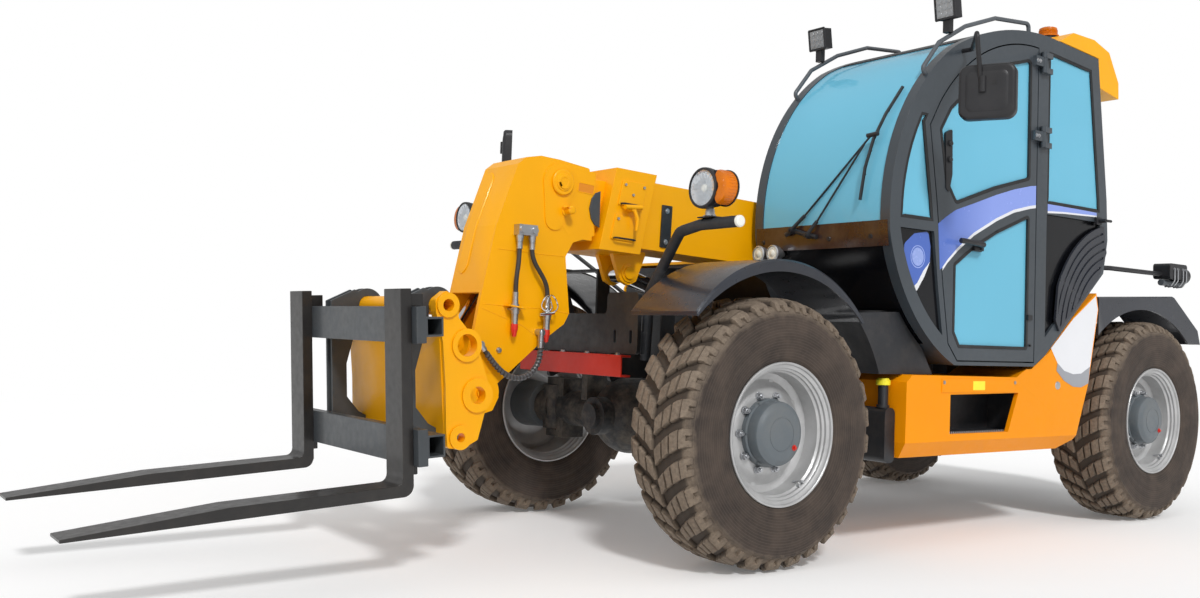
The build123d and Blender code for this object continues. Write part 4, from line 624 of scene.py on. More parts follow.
def wheel(name, centre, side, body, node):
    """Stepped silver rim, dished disc with its nuts, and the planetary hub's cap."""
    def finish_part(shape, part, look, **values):
        shape.place(centre, side).make(f"{name}_{part}", look, body, slot=values.pop("slot", "rim_silver"),
                                       origin=centre, **values)

    rim = Shape().lathe(RIM + mirrored(RIM) + mirrored(RIM_BACK) + RIM_BACK, seg=128, closed=True)
    rim.lathe(DISC, closed=True)
    studs(rim, [t + 0.2 for t in turns(8)], 0.228, 0.03, [(0.0445, 0.016, 0.013, 16)])
    finish_part(rim, "rim", "rim_silver", angle=32, replaces=[node])

    hub = Shape().lathe(HUB)
    hub.lathe([(0.07, 0.164), (0.0708, 0.1662), (0.0727, 0.1662), (0.0735, 0.164)], seg=72, closed=True)
    studs(hub, turns(6), 0.1445, 0.086, [(0.0975, 0.0052, None, 6)])
    finish_part(hub, "hub", "hub_grey", angle=32)

    nuts = studs(Shape(), turns(10), 0.166, 0.07, [(0.074, 0.019, 0.018, 24), (0.09, 0.0155, 0.0148, 6),
                                                   (0.1, 0.0085, 0.0078, 16)])
    finish_part(nuts, "nuts", "zinc", bevel=0.0008)

    plug = studs(Shape(), [math.radians(218)], 0.098, 0.163, [(0.1672, 0.0135, 0.0125, 24)])
    studs(plug, [math.radians(218)], 0.098, 0.16, [(0.1745, 0.0085, 0.008, 6)])
    finish_part(plug, "plug", "plug_red", slot="cap_yellow", bevel=0.0006)

    angle = math.radians(236)
    inward = Vector((-math.cos(angle), 0, -math.sin(angle)))

    def stem(out, along):
        """A point on the valve's stem, so far outward from its foot and so far towards the hub."""
        return inward * (along - 0.262) + Vector((0, 0.098 + out, 0))

    valve = Shape().cylinder(stem(0, 0), stem(0.012, 0.004), 0.0065, 0.0055, seg=16)
    valve.cylinder(stem(0.01, 0.004), stem(0.05, 0.012), 0.0035, seg=12)
    valve.cylinder(stem(0.046, 0.011), stem(0.058, 0.0137), 0.0048, seg=12)
    studs(valve, (angle - 0.05, angle + 0.05), 0.268, 0.128, [(0.146, 0.0055, None, 10)])
    finish_part(valve, "valve", "zinc")


for axle_name, axle_x in (("front", 0.0), ("rear", -WHEELBASE)):
    for side_name, side in SIDES:
        corner = f"{axle_name}_{side_name}"
        at = Vector((axle_x, side * WHEEL_Y, TYRE_R))
        tyre(f"{corner}_tyre_shown", at, f"{corner}_wheel", f"{corner}_tyre")
        wheel(f"{corner}_wheel_shown", at, side, f"{corner}_wheel", f"{corner}_wheel")


# ---------------------------------------------------------------- CAD nodes shown with rounded edges
NODE_LOOKS = {
    "chassis_frame": ("frame_black", 0.002), "front_axle": ("cast_black", 0.004), "rear_axle": ("cast_black", 0.004),
    "counterweight": ("frame_black", 0.008), "engine_pod": ("panel_black", 0.002), "hood": ("paint_yellow", 0.004),
    "side_box": ("box_yellow_and_shade", 0.004), "side_tank": ("panel_black", 0.004), "fuel_cap": ("cap_yellow", 0.003),
    "cross_beam": ("beam_red", 0.003), "front_fenders": ("fender_black", 0.003),
    "rear_fenders": ("fender_black", 0.003), "arch_liner": ("panel_black", 0.002),
    "boom_outer": ("paint_yellow", 0.004), "boom_inner": ("paint_yellow", 0.004), "boom_head": ("paint_yellow", 0.003),
    "boom_plates": ("paint_yellow", 0.0015), "lift_barrel": ("cylinder_black", 0.002), "lift_rod": ("rod_chrome", 0.0),
    "tilt_barrel": ("cylinder_black", 0.002), "tilt_rod": ("rod_chrome", 0.0), "coupler": ("paint_yellow", 0.003),
    "fork_frame": ("carriage_grey", 0.003), "fork_left": ("fork_steel", 0.003), "fork_right": ("fork_steel", 0.003),
    "cab_frame": ("cab_grey", 0.006), "cab_panels": ("panel_gloss", 0.002), "louvre": ("fender_black", 0.003),
    "cab_roof": ("panel_black", 0.004), "roof_cowl": ("paint_yellow", 0.012), "door": ("cab_grey", 0.005),
    "seat_base": ("panel_black", 0.003), "dashboard": ("panel_black", 0.004), "side_console": ("panel_black", 0.006),
    "lamp_brackets": ("pole_grey", 0.0), "lamps": ("lamp_black", 0.004), "mirrors": ("lamp_black", 0.008),
    "front_left_knuckle": ("cast_black", 0.003), "front_right_knuckle": ("cast_black", 0.003),
    "rear_left_knuckle": ("cast_black", 0.003), "rear_right_knuckle": ("cast_black", 0.003),
    "cab_glass": ("cab_glass", 0.0), "door_glass": ("cab_glass", 0.0), "engine_block": ("cast_black", 0.006),
    "hose_fittings": ("zinc", 0.0008),
}
# Where a bent corner lies, how near its edges are, and its radius.
HEEL = [(1.503, 0.359, 0.024, 0.0165), (1.538, 0.3905, 0.01, 0.03)]
BENDS = {"fork_left": HEEL, "fork_right": HEEL}
# Nodes of two looks: the second look, and the test of a face's middle that gives it.
SPLIT = {
    "door": (None, lambda c: c.y > 1.0755 and -1.38 < c.x < -1.12),
    "boom_plates": ("beam_black", lambda c: c.x < 0.0),
    "lamp_brackets": ("rail_grey", lambda c: c.z > 2.2),
}
for node, (look, width) in NODE_LOOKS.items():
    if node not in SPLIT:
        refined(node, look, width, bends=BENDS.get(node, ()))
        continue
    other, test = SPLIT[node]
    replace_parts(refined(node, look, width, keep=lambda c: not test(c)), node)
    if other:
        refined(node, other, width, name=node + "_dark", keep=test)


# ---------------------------------------------------------------- hoses, lamps, mirrors and seals
def circle_through(a, b, c):
    """Centre and radius of the circle through three points of a plane."""
    (ax, ay), (bx, by), (cx, cy) = a, b, c
    d = 2 * (ax * (by - cy) + bx * (cy - ay) + cx * (ay - by))
    ux = ((ax**2 + ay**2) * (by - cy) + (bx**2 + by**2) * (cy - ay) + (cx**2 + cy**2) * (ay - by)) / d
    uy = ((ax**2 + ay**2) * (cx - bx) + (bx**2 + by**2) * (ax - cx) + (cx**2 + cy**2) * (bx - ax)) / d
    return (ux, uy), math.hypot(ax - ux, ay - uy)


# The windscreen bows forward along a circle through three points of its outer face, given as X and Z
SCREEN_CENTRE, SCREEN_R = circle_through((-0.652, 1.53), (-0.76, 2.075), (-1.127, 2.481))


def screen_x(z, proud=0.0):
    """X of the windscreen's outer face at a height."""
    return SCREEN_CENTRE[0] + math.sqrt((SCREEN_R + proud) ** 2 - (z - SCREEN_CENTRE[1]) ** 2)


# Routes of the hoses, as in the part's source
HOSE_D = 0.021
HOSE_ROUTES = {
    "hose_left": [(0.807, 0.172, 1.404), (0.807, 0.172, 1.351), (0.813, 0.178, 1.298), (0.822, 0.18, 1.243),
                  (0.819, 0.172, 1.19), (0.819, 0.172, 1.133)],
    "hose_right": [(0.741, 0.172, 1.404), (0.741, 0.172, 1.352), (0.726, 0.179, 1.303), (0.696, 0.183, 1.262),
                   (0.664, 0.18, 1.221), (0.645, 0.172, 1.174), (0.645, 0.172, 1.112)],
    "hose_wrapped": [(0.676, 0.176, 0.957), (0.676, 0.176, 0.911), (0.684, 0.182, 0.866), (0.707, 0.185, 0.826),
                     (0.742, 0.186, 0.796), (0.786, 0.185, 0.782), (0.832, 0.183, 0.785), (0.874, 0.18, 0.804),
                     (0.909, 0.176, 0.834), (0.94, 0.172, 0.868), (0.97, 0.172, 0.903)],
}


def hose_curve(name, route, depth):
    data = bpy.data.curves.new(name, "CURVE")
    data.dimensions = "3D"
    spline = data.splines.new("NURBS")
    spline.points.add(len(route) - 1)
    for point, (x, y, z) in zip(spline.points, route):
        point.co = (x + SHIFT, y, z, 1.0)
    spline.order_u = 3
    spline.use_endpoint_u = True
    spline.resolution_u = 14
    data.bevel_depth, data.bevel_resolution, data.use_fill_caps = depth, 6, depth > 0
    return new_object(name, data)


def centreline(route):
    """Points read from the route's spline, in metres from the front axle."""
    line = hose_curve("hose_line", route, 0.0)
    bpy.context.view_layer.update()
    mesh = bpy.data.meshes.new_from_object(line)
    points = [v.co - Vector((SHIFT, 0, 0)) for v in mesh.vertices]
    bpy.data.objects.remove(line)
    return points


def distances(line):
    """How far along a line each of its points is."""
    out = [0.0]
    for a, b in zip(line, line[1:]):
        out.append(out[-1] + (b - a).length)
    return out


def ferrule(shape, line, reach=0.04, r=0.0128):
    """A ferrule round the first part of a line, ridged like a crimp."""
    kept = [p for p, far in zip(line, distances(line)) if far <= reach]
    start, axis = kept[0], kept[-1] - kept[0]
    for s, e, swell in ((0.0, 0.16, 1.12), (0.16, 0.3, 0.98), (0.3, 0.86, 1.0), (0.86, 1.0, 1.1)):
        shape.cylinder(start + axis * s, start + axis * e, r * swell, seg=24)


def spiral_wrap(line, pitch=0.02, turn_steps=14):
    """Protective spiral band wound round the looped hose, from after its ferrule to near its end."""
    far = distances(line)
    steps = int(far[-1] / pitch * turn_steps)
    side = (line[1] - line[0]).orthogonal().normalized()
    rings, k = [], 0
    for i in range(steps + 1):
        s = 0.045 + (far[-1] - 0.06) * i / steps
        while k < len(far) - 2 and far[k + 1] < s:
            k += 1
        p = line[k].lerp(line[k + 1], (s - far[k]) / max(1e-9, far[k + 1] - far[k]))
        along = (line[k + 1] - line[k]).normalized()
        side = (side - along * side.dot(along)).normalized()
        a = 2 * math.pi * i / turn_steps
        out = side * math.cos(a) + along.cross(side) * math.sin(a)
        rings.append([p + out * r + along * w for r, w in ((0.0102, -0.0062), (0.014, -0.00434), (0.014, 0.00434),
                                                           (0.0102, 0.0062))])
    return Shape().loft(rings).make("hose_wrap", "wrap_sheen_grey", "boom_slide")


def hoses():
    for name, route in HOSE_ROUTES.items():
        piece = hose_curve(name + "_shown", route, HOSE_D / 2)
        piece.data.materials.append(MATS["hose_rubber"])
        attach(piece, "boom_slide")
        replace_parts(piece, name)
        line = centreline(route)
        crimps = Shape()
        ferrule(crimps, line)
        if name != "hose_wrapped":
            ferrule(crimps, line[::-1])
        extra = [crimps.make(name + "_crimps", "zinc", "boom_slide", bevel=0.0008)]
        if name == "hose_wrapped":
            extra.append(spiral_wrap(line))


hoses()


def turned_x(shape, section, x, y, z, seg=48):
    """A lathe about the X axis from (radius, along) points."""
    return shape.lathe(section, axis="X", centre=(x, y, z), seg=seg)


def headlight(name, side):
    """Reflector, bulb, lens and rim of a headlight, and the indicator that stands out beside it."""
    x, y, z = 0.396, side * 0.985, 1.613
    reflector = turned_x(Shape(), [(0.0745, 0.044), (0.066, 0.0385), (0.045, 0.0345), (0.016, 0.0325),
                                   (0.0, 0.0325)], x, y, z)
    base = Vector((x + 0.0352, y, z))
    for t in turns(18):
        u = Vector((0, math.cos(t), math.sin(t)))
        reflector.cylinder(base + u * 0.02, base + u * 0.068 + Vector((0.0042, 0, 0)), 0.0012, 0.0022, seg=6)
    reflector.make(f"headlight_{name}_reflector", "mirror_glass", "chassis")
    for part, look, section in (
            ("bulb", "cream", [(0.0, 0.043), (0.012, 0.042), (0.016, 0.0385), (0.017, 0.033)]),
            ("lens", "lens_clear", [(0.075, 0.045), (0.06, 0.05), (0.04, 0.0535), (0.02, 0.055),
                                    (0.0, 0.0555)]),
            ("rim", "lamp_black", [(0.0745, 0.043), (0.075, 0.05), (0.08, 0.051), (0.085, 0.047),
                                   (0.0862, 0.038), (0.0862, 0.025), (0.084, 0.02)])):
        turned_x(Shape(), section, x, y, z).make(f"headlight_{name}_{part}", look, "chassis")

    amber = Shape()
    c = Vector((x, y + side * 0.062, z))
    arc = [math.radians(a) for a in range(-78, 79, 12)]
    rows = [[c + Vector((along, side * r * math.cos(a), r * math.sin(a))) for a in arc]
            for along, r in ((-0.03, 0.0712), (-0.024, 0.0738), (0.018, 0.0738), (0.034, 0.07), (0.0405, 0.056),
                             (0.0425, 0.03))]
    for r0, r1 in zip(rows, rows[1:]):
        for i in range(len(arc) - 1):
            amber.faces([r0[i], r0[i + 1], r1[i + 1], r1[i]], [(0, 1, 2, 3)])
    bmesh.ops.remove_doubles(amber.bm, verts=amber.bm.verts, dist=1e-6)
    for a in range(-60, 61, 10):
        u = Vector((0, side * math.cos(math.radians(a)), math.sin(math.radians(a))))
        amber.tube([c + u * r + Vector((along, 0, 0)) for r, along in ((0.0738, -0.022), (0.0738, 0.017),
                                                                       (0.058, 0.0395))], 0.0016, seg=6)
    amber.make(f"indicator_{name}", "amber", "chassis", angle=50)
    back = turned_x(Shape(), [(0.06, -0.034), (0.0765, -0.034), (0.0765, -0.028), (0.06, -0.028)], *c)
    back.make(f"indicator_{name}_back", "lamp_black", "chassis")

    foot = Shape()
    for dy in (-0.03, 0.03):
        foot.bolt((x + 0.002, y + dy, 1.496), (0, 0, 1), 0.007)
    foot.cylinder((x, y, 1.5), (x, y, 1.53), 0.022, 0.018, seg=24)
    foot.make(f"headlight_{name}_foot", "zinc", "chassis")
    cap = Shape().lathe([(0.0, 0.01), (0.018, 0.01), (0.0236, 0.006), (0.0246, 0.0), (0.0246, -0.006),
                         (0.0, -0.006)], seg=32)
    cap.place((x, side * 1.165, 1.468), side).make(f"pole_cap_{name}", "cream", "chassis")


def cowl_lamp(number, x, y, z):
    shell = turned_x(Shape(), [(0.0, -0.062), (0.02, -0.058), (0.036, -0.03), (0.043, 0.0), (0.043, 0.01),
                               (0.037, 0.014), (0.035, 0.006)], x, y, z)
    shell.cylinder((x - 0.07, y, z), (x - 0.04, y, z), 0.014, seg=16)
    shell.make(f"cowl_lamp_{number}", "zinc", "chassis", angle=40)
    face = turned_x(Shape(), [(0.036, 0.007), (0.028, 0.012), (0.02, 0.01), (0.012, 0.016), (0.0, 0.018)], x, y, z)
    face.make(f"cowl_lamp_{number}_face", "cream", "chassis")


def square(centre, across, up, half):
    return [centre + across * a * half + up * b * half for a, b in ((-1, -1), (1, -1), (1, 1), (-1, 1))]


def work_light(name, y, tilt=math.radians(8)):
    """Nine LEDs on a framed face, and cooling ribs on the back."""
    centre = Vector((-1.09, y, 2.665))
    out = Vector((math.cos(tilt), 0, -math.sin(tilt)))
    across, up = Vector((0, 1, 0)), Vector((math.sin(tilt), 0, math.cos(tilt)))
    face, back = centre + out * 0.0302, centre - out * 0.03
    led = Shape()
    for i in (-1, 0, 1):
        for j in (-1, 0, 1):
            p = face + across * 0.031 * i + up * 0.031 * j
            led.cylinder(p, p + out * 0.004, 0.0135, 0.0115, seg=20)
    plate = square(face, across, up, 0.048)
    led.loft([plate, [p + out * 0.0015 for p in plate]])
    led.make(f"work_light_{name}_face", "led_face", "chassis")
    case = Shape()
    corner = square(face, across, up, 0.056)
    for a, b in zip(corner, corner[1:] + corner[:1]):
        case.tube([a, b], 0.005, seg=8)
    for k in range(-3, 4):
        p = back + across * 0.014 * k
        case.tube([p - up * 0.048, p + up * 0.048], 0.0035, seg=6)
    case.make(f"work_light_{name}_frame", "lamp_black", "chassis")


def beacon_lens(x=-2.26, y=0.87):
    lens = Shape()
    sections = [([(0.0595, 2.77), (0.0595, 2.778), (0.051, 2.782), (0.0505, 2.806), (0.0475, 2.82),
                  (0.036, 2.8254), (0.0, 2.8256)], 48)]
    for i in range(10):
        z = 2.784 + 0.0024 * i
        sections.append(([(0.0505, z), (0.0515, z + 0.0012), (0.0505, z + 0.0024)], 40))
    for section, seg in sections:
        lens.lathe(section, axis="Z", centre=(x, y, 0), seg=seg)
    lens.make("beacon_lens", "amber", "chassis")


def rear_lamp(name, side):
    """Amber lamp in its case on the rear fender, a bar with an end plug below it and the U-bolts that hold them."""
    lens = turned_x(Shape(), [(0.047, -0.0005), (0.044, -0.004), (0.0, -0.0055)], -3.616, side * 0.985, 1.48, 40)
    lens.make(f"rear_lamp_{name}_lens", "amber", "chassis")
    case = Shape().prism(rounded_loop([(-3.56, 1.45), (-3.345, 1.45), (-3.345, 1.546), (-3.56, 1.546)], 0.02),
                         side * 0.935, side * 1.043)
    case.make(f"rear_lamp_{name}_case", "lamp_black", "chassis", bevel=0.004)
    y, z = side * 0.99, 1.428
    bar = Shape().tube([(-3.335, y, z), (-3.588, y, z)], 0.0195, seg=28)
    bar.make(f"rear_lamp_{name}_bar", "rail_grey", "chassis", bevel=0.001)
    plug = turned_x(Shape(), [(0.0195, 0.002), (0.0215, 0.0), (0.0215, -0.004), (0.017, -0.008), (0.0, -0.009)],
                    -3.588, y, z, 28)
    plug.make(f"rear_lamp_{name}_plug", "cream", "chassis")
    bolts = Shape()
    for x in (-3.395, -3.435, -3.5, -3.54):
        bolts.bolt((x, side * 1.0432, 1.512), (0, side, 0), 0.0065, 0.006)
        bolts.tube([(x, side * 1.0465, 1.506), (x, side * 1.0465, 1.44), (x, side * 1.02, 1.408),
                    (x, side * 0.985, 1.404)], 0.0042, seg=8, bend=0.02)
    bolts.make(f"rear_lamp_{name}_bolts", "zinc", "chassis")


def mirror(name, centre, turn):
    """Glass, back panel with its socket, and the clamp on the arm of a mirror turned by an angle about Z."""
    t = math.radians(turn)
    out, across = Vector((math.cos(t), math.sin(t), 0)), Vector((-math.sin(t), math.cos(t), 0))
    centre = Vector(centre)

    def plate(outline, steps, shift=(0.0, 0.0)):
        """An outline at stepped distances in front of the middle, scaled at each."""
        return Shape().loft([[centre + out * d + across * (a * k + shift[0]) + Vector((0, 0, b * k + shift[1]))
                              for a, b in outline] for d, k in steps])

    outline = rounded_loop([(-0.109, -0.109), (0.109, -0.109), (0.109, 0.109), (-0.109, 0.109)], 0.034)
    glass_pane = plate(outline, ((-0.0235, 1.0), (-0.0262, 1.0), (-0.0272, 0.985)))
    glass_pane.make(f"mirror_{name}_glass", "mirror_glass", "chassis", angle=60)
    clamp = Shape()
    arm = centre + out * 0.0275 + Vector((0, 0, 0.02)) - across * 0.018
    for dz in (-0.014, 0.034):
        clamp.bolt(arm + Vector((0, 0, dz)) + out * 0.004, out, 0.007, 0.006)
    clamp.cylinder(arm + Vector((0, 0, -0.026)), arm + Vector((0, 0, 0.046)), 0.017, seg=20)
    clamp.make(f"mirror_{name}_clamp", "lamp_black", "chassis")
    panel = plate(outline, ((0.0262, 0.86), (0.0285, 0.84), (0.031, 0.72), (0.0318, 0.6)))
    panel.make(f"mirror_{name}_back", "lamp_black", "chassis", angle=50)
    socket = plate([(-0.01, -0.01), (0.01, -0.01), (0.01, 0.01), (-0.01, 0.01)],
                   ((0.03, 1.0), (0.033, 1.0)), shift=(0.034, 0.036))
    socket.make(f"mirror_{name}_socket", "seal_rubber", "chassis")


def rounded_loop(outline, bend, step=math.radians(12)):
    """A closed outline of (a, b) pairs with rounded corners."""
    pts = [Vector((a, b, 0)) for a, b in outline]
    count = len(pts)
    out = []
    for i in range(count):
        a, b, c = pts[i - 1], pts[i], pts[(i + 1) % count]
        part = rounded_path([a.lerp(b, 0.5), b, b.lerp(c, 0.5)], bend, step)
        out += [(p.x, p.y) for p in part[1:-1]]
    return out


def outline_normals(loop):
    """Outward normals of a closed loop of (a, b) points."""
    area = sum(p[0] * q[1] - q[0] * p[1] for p, q in zip(loop, loop[1:] + loop[:1]))
    sign = 1 if area > 0 else -1
    out = []
    for i in range(len(loop)):
        a, c = Vector(loop[i - 1]), Vector(loop[(i + 1) % len(loop)])
        d = (c - a).normalized()
        out.append(Vector((d.y, -d.x)) * sign)
    return out


def ring_band(shape, loop, y0, y1, inner, outer):
    """A flat frame along a closed loop in the XZ plane."""
    normals = outline_normals(loop)
    rings = []
    for (x, z), n in zip(loop, normals):
        a, b = (x - n.x * inner, z - n.y * inner), (x + n.x * outer, z + n.y * outer)
        rings.append([(b[0], y0, b[1]), (b[0], y1, b[1]), (a[0], y1, a[1]), (a[0], y0, a[1])])
    return shape.loft(rings, cyclic=True)


def pane_loops(node, side):
    """Y and outline of each flat pane that faces one side of the machine, from the node's own faces."""
    bm = node_mesh(node)
    flatten(bm)
    loops = []
    for face in bm.faces:
        if face.normal.y * side > 0.99 and face.calc_area() > 0.02:
            loop = [(v.co.x - SHIFT, v.co.z) for v in face.verts]
            loops.append((face.calc_center_median().y, even_loop(loop, 0.03)))
    bm.free()
    return loops


def even_loop(loop, step):
    """A closed loop with its long runs divided."""
    out = []
    for a, b in zip(loop, loop[1:] + loop[:1]):
        a, b = Vector(a), Vector(b)
        n = max(1, int((b - a).length / step))
        out += [tuple(a.lerp(b, i / n)) for i in range(n)]
    return out


def seals(name, node, body, side, depth):
    """Rubber round a node's panes that face one side, except those near the middle of the cab."""
    shape = Shape()
    for y, loop in pane_loops(node, side):
        if side < 0 and abs(y - CAB_Y) < 0.3:
            continue
        y0, y1 = sorted((y + side * 0.0003, y + side * depth))
        ring_band(shape, loop, y0, y1, 0.017, -0.0005)
    shape.make(name, "seal_rubber", body, bevel=0.0015, angle=40)


for side_name, side in SIDES:
    headlight(side_name, side)
for number, y in enumerate((0.275, 0.375)):
    cowl_lamp(number, -0.604, y, 1.436)
work_light("left", 1.051)
work_light("right", 0.214)
beacon_lens()
for side_name, side in SIDES:
    rear_lamp(side_name, side)
mirror("left", (-0.825, 1.464, 2.14), 25)
mirror("right", (-0.095, -1.424, 2.09), -32)
seals("cab_seals_left", "cab_glass", "chassis", 1, 0.007)
seals("cab_seals_right", "cab_glass", "chassis", -1, 0.007)
seals("door_seals", "door_glass", "door", 1, 0.0112)


# ---------------------------------------------------------------- cab: films, band, wiper, fittings
def decal(name, look, body, outline, face, lift, slot=None, bend=0.0):
    """Thin film on a face that looks along +Y, its back lifted a little off the face."""
    loop = rounded_loop(outline, bend) if bend else outline
    return Shape().prism(loop, face + lift, face + lift + 0.0006).make(name, look, body, slot=slot)


def shifted(points, x=0.0, z=0.0):
    return [(a + x, b + z) for a, b in points]


def swoosh():
    """Band of blue film with a white lower edge across the quarter panel, the door and the rear rail."""
    upper = [(-1.012, 1.585), (-1.07, 1.622), (-1.15, 1.664), (-1.292, 1.709), (-1.48, 1.771), (-1.64, 1.817),
             (-1.795, 1.851), (-1.839, 1.856)]
    lower = [(-1.839, 1.75), (-1.785, 1.741), (-1.64, 1.707), (-1.49, 1.65), (-1.3, 1.56), (-1.17, 1.475),
             (-1.092, 1.412), (-1.052, 1.372), (-1.031, 1.362)]
    decal("swoosh_door", "swoosh", "door", upper + lower, DOOR_FACE, 0.0002)
    edge = [p for p in shifted(lower[::-1], z=-0.012) + shifted(lower, z=0.004) if p[0] < -1.036]
    decal("swoosh_door_edge", "white_film", "door", edge, DOOR_FACE, 0.0006)
    front = [(-0.776, 1.471), (-0.849, 1.524), (-0.955, 1.542), (-0.975, 1.47), (-0.972, 1.395), (-0.932, 1.322),
             (-0.88, 1.255), (-0.845, 1.236), (-0.808, 1.283), (-0.775, 1.38)]
    decal("swoosh_front", "swoosh", "chassis", front, PANEL_FACE, 0.0003, "panel_gloss", bend=0.03)
    tip = front[4:8] + [(-0.815, 1.27), (-0.842, 1.262), (-0.88, 1.29), (-0.925, 1.352)]
    decal("swoosh_front_edge", "white_film", "chassis", tip, PANEL_FACE, 0.0008, "panel_gloss")
    x, z = -0.88, 1.415
    outer, inner = ([(x + r * math.cos(t), z + r * math.sin(t)) for t in turns(40)] for r in (0.055, 0.044))
    roundel = ring_band(Shape(), outer, PANEL_FACE + 0.0009, PANEL_FACE + 0.0014, 0.005, 0.0)
    roundel.prism(inner, PANEL_FACE + 0.0009, PANEL_FACE + 0.0012)
    roundel.make("bare_roundel", "swoosh_pale", "chassis", slot="panel_gloss")
    top = [(-1.952, 1.771), (-2.1, 1.771), (-2.3, 1.77), (-2.44, 1.768)]
    low = [(-2.44, 1.752), (-2.3, 1.748), (-2.1, 1.742), (-1.952, 1.733)]
    decal("swoosh_rear", "swoosh", "chassis", top + low, DOOR_FACE, 0.0002)
    strip = low[::-1] + [(-2.44, 1.744), (-2.3, 1.739), (-2.1, 1.732), (-1.952, 1.722)]
    decal("swoosh_rear_edge", "white_film", "chassis", strip, DOOR_FACE, 0.0005)


def side_box_films():
    rim = [(-2.42, 0.905), (-2.33, 0.866), (-2.25, 0.862), (-2.16, 0.88), (-2.095, 0.92)]
    white = [(-2.03, 1.0), (-2.245, 1.166), (-2.47, 1.302), (-2.492, 1.225)] + rim
    decal("box_white_patch", "white_film", "chassis", white, PANEL_FACE, 0.0006, "paint_yellow")
    outer = [(-2.404, 0.812), (-2.33, 0.79), (-2.25, 0.794), (-2.16, 0.826), (-2.085, 0.88)]
    decal("box_grey_arc", "grey_film", "chassis", rim[::-1] + outer, PANEL_FACE, 0.0012, "paint_yellow")


def screen_band():
    """Glossy brown-black band under the windscreen, which follows the cab's bowed front, and its plugs."""
    heights = [1.452 + 0.0203 * i for i in range(7)]
    rows = [(screen_x(z, 0.001), z) for z in heights] + [(screen_x(z, -0.003), z) for z in reversed(heights)]
    Shape().prism(rows, 0.203, 1.062).make("screen_band", "screen_band", "chassis", angle=25)
    plugs = Shape()
    x, z = screen_x(1.5), 1.5
    for y in (0.25, 0.7, 0.96):
        plugs.cylinder((x, y, z), (x + 0.006, y, z - 0.0005), 0.012, 0.01, seg=20)
    plugs.make("screen_band_plugs", "lamp_black", "chassis")


def wiper():
    def on_screen(y, z, proud):
        return Vector((screen_x(z) + proud, y, z))

    def off(point, x, y=0.0, z=0.0):
        return point + Vector((x, y, z))

    base_a, base_b = on_screen(0.479, 1.55, 0.012), on_screen(0.585, 1.52, 0.012)
    mid, low = on_screen(0.93, 2.002, 0.036), on_screen(0.895, 1.95, 0.036)
    arms = Shape()
    for start, end in ((base_a, mid), (base_b, low)):
        root = off(start.lerp(end, 0.16), 0.008)
        arms.tube([off(start, 0.022), root], 0.0095, seg=10)
        arms.tube([root, end], 0.0052, seg=10)
        arms.cylinder(start, off(start, 0.034), 0.017, 0.014, seg=20)
        arms.cylinder(off(start, 0.034), off(start, 0.04), 0.008, seg=6)
    arms.tube([off(base_a, 0.004, -0.05, -0.02), off(base_a, 0.004), off(base_b, 0.004),
               off(base_b, 0.004, 0.05, -0.01)], 0.012, seg=12)
    arms.tube([off(mid, 0, -0.035, -0.01), off(mid, 0, 0.03, -0.006)], 0.011, seg=12)
    arms.make("wiper_arms", "lamp_black", "chassis", bevel=0.0008)
    spine = [on_screen(*p) for p in ((0.972, 2.246, 0.02), (0.955, 2.1, 0.026), (0.935, 1.97, 0.03),
                                     (0.92, 1.83, 0.026), (0.907, 1.675, 0.02))]
    blade = Shape().tube(spine, 0.0058, seg=10).tube([off(p, -0.011) for p in spine], 0.0032, seg=6)
    for t in (0.22, 0.42, 0.6, 0.8):
        k = int(t * 4)
        p = spine[k].lerp(spine[k + 1], t * 4 - k)
        blade.tube([p, off(p, -0.012)], 0.006, seg=8)
    blade.make("wiper_blade", "seal_rubber", "chassis")


def door_fittings():
    handle = Shape().box(-1.368, -1.292, 1.0757, 1.09, 1.474, 1.526)
    handle.tube([(-1.33, 1.088, 1.5), (-1.33, 1.118, 1.503), (-1.162, 1.118, 1.51), (-1.14, 1.114, 1.511)], 0.0135,
                bend=0.02)
    handle.cylinder((-1.345, 1.088, 1.488), (-1.345, 1.097, 1.488), 0.009, seg=20)
    handle.make("door_handle", "lamp_black", "door", bevel=0.003)
    loop = rounded_loop([(-1.052, 2.035), (-1.105, 2.06), (-1.112, 1.835), (-1.088, 1.745), (-1.063, 1.76)], 0.018)
    stay = Shape().prism(loop, 1.066, 1.08)
    for z in (1.985, 1.905):
        stay.lathe([(0.0, 1.094), (0.011, 1.093), (0.0145, 1.088), (0.0145, 1.08)], centre=(-1.084, 0, z), seg=24)
    stay.make("door_stay", "lamp_black", "door", bevel=0.0015)
    bolts = Shape()
    for z in (2.52, 2.12):
        for x in (-1.8, -1.822):
            bolts.bolt((x, 1.0985, z), (0, 1, 0), 0.0075, 0.005)
    bolts.make("hinge_bolts", "zinc", "door")
    latch = Shape().box(-2.47, -2.418, 1.0752, 1.092, 1.7, 1.742)
    latch.cylinder((-2.45, 1.092, 1.722), (-2.45, 1.128, 1.722), 0.011, seg=16)
    latch.tube([(-2.45, 1.124, 1.722), (-2.5, 1.128, 1.722)], 0.008, seg=10)
    latch.make("pane_latch", "lamp_black", "chassis", bevel=0.002)
    lock = Shape().box(-1.812, -1.772, 1.0757, 1.086, 1.142, 1.17)
    lock.cylinder((-1.8, 1.0757, 1.01), (-1.8, 1.086, 1.01), 0.006, seg=12)
    lock.make("door_lock", "lamp_black", "door", bevel=0.0015)


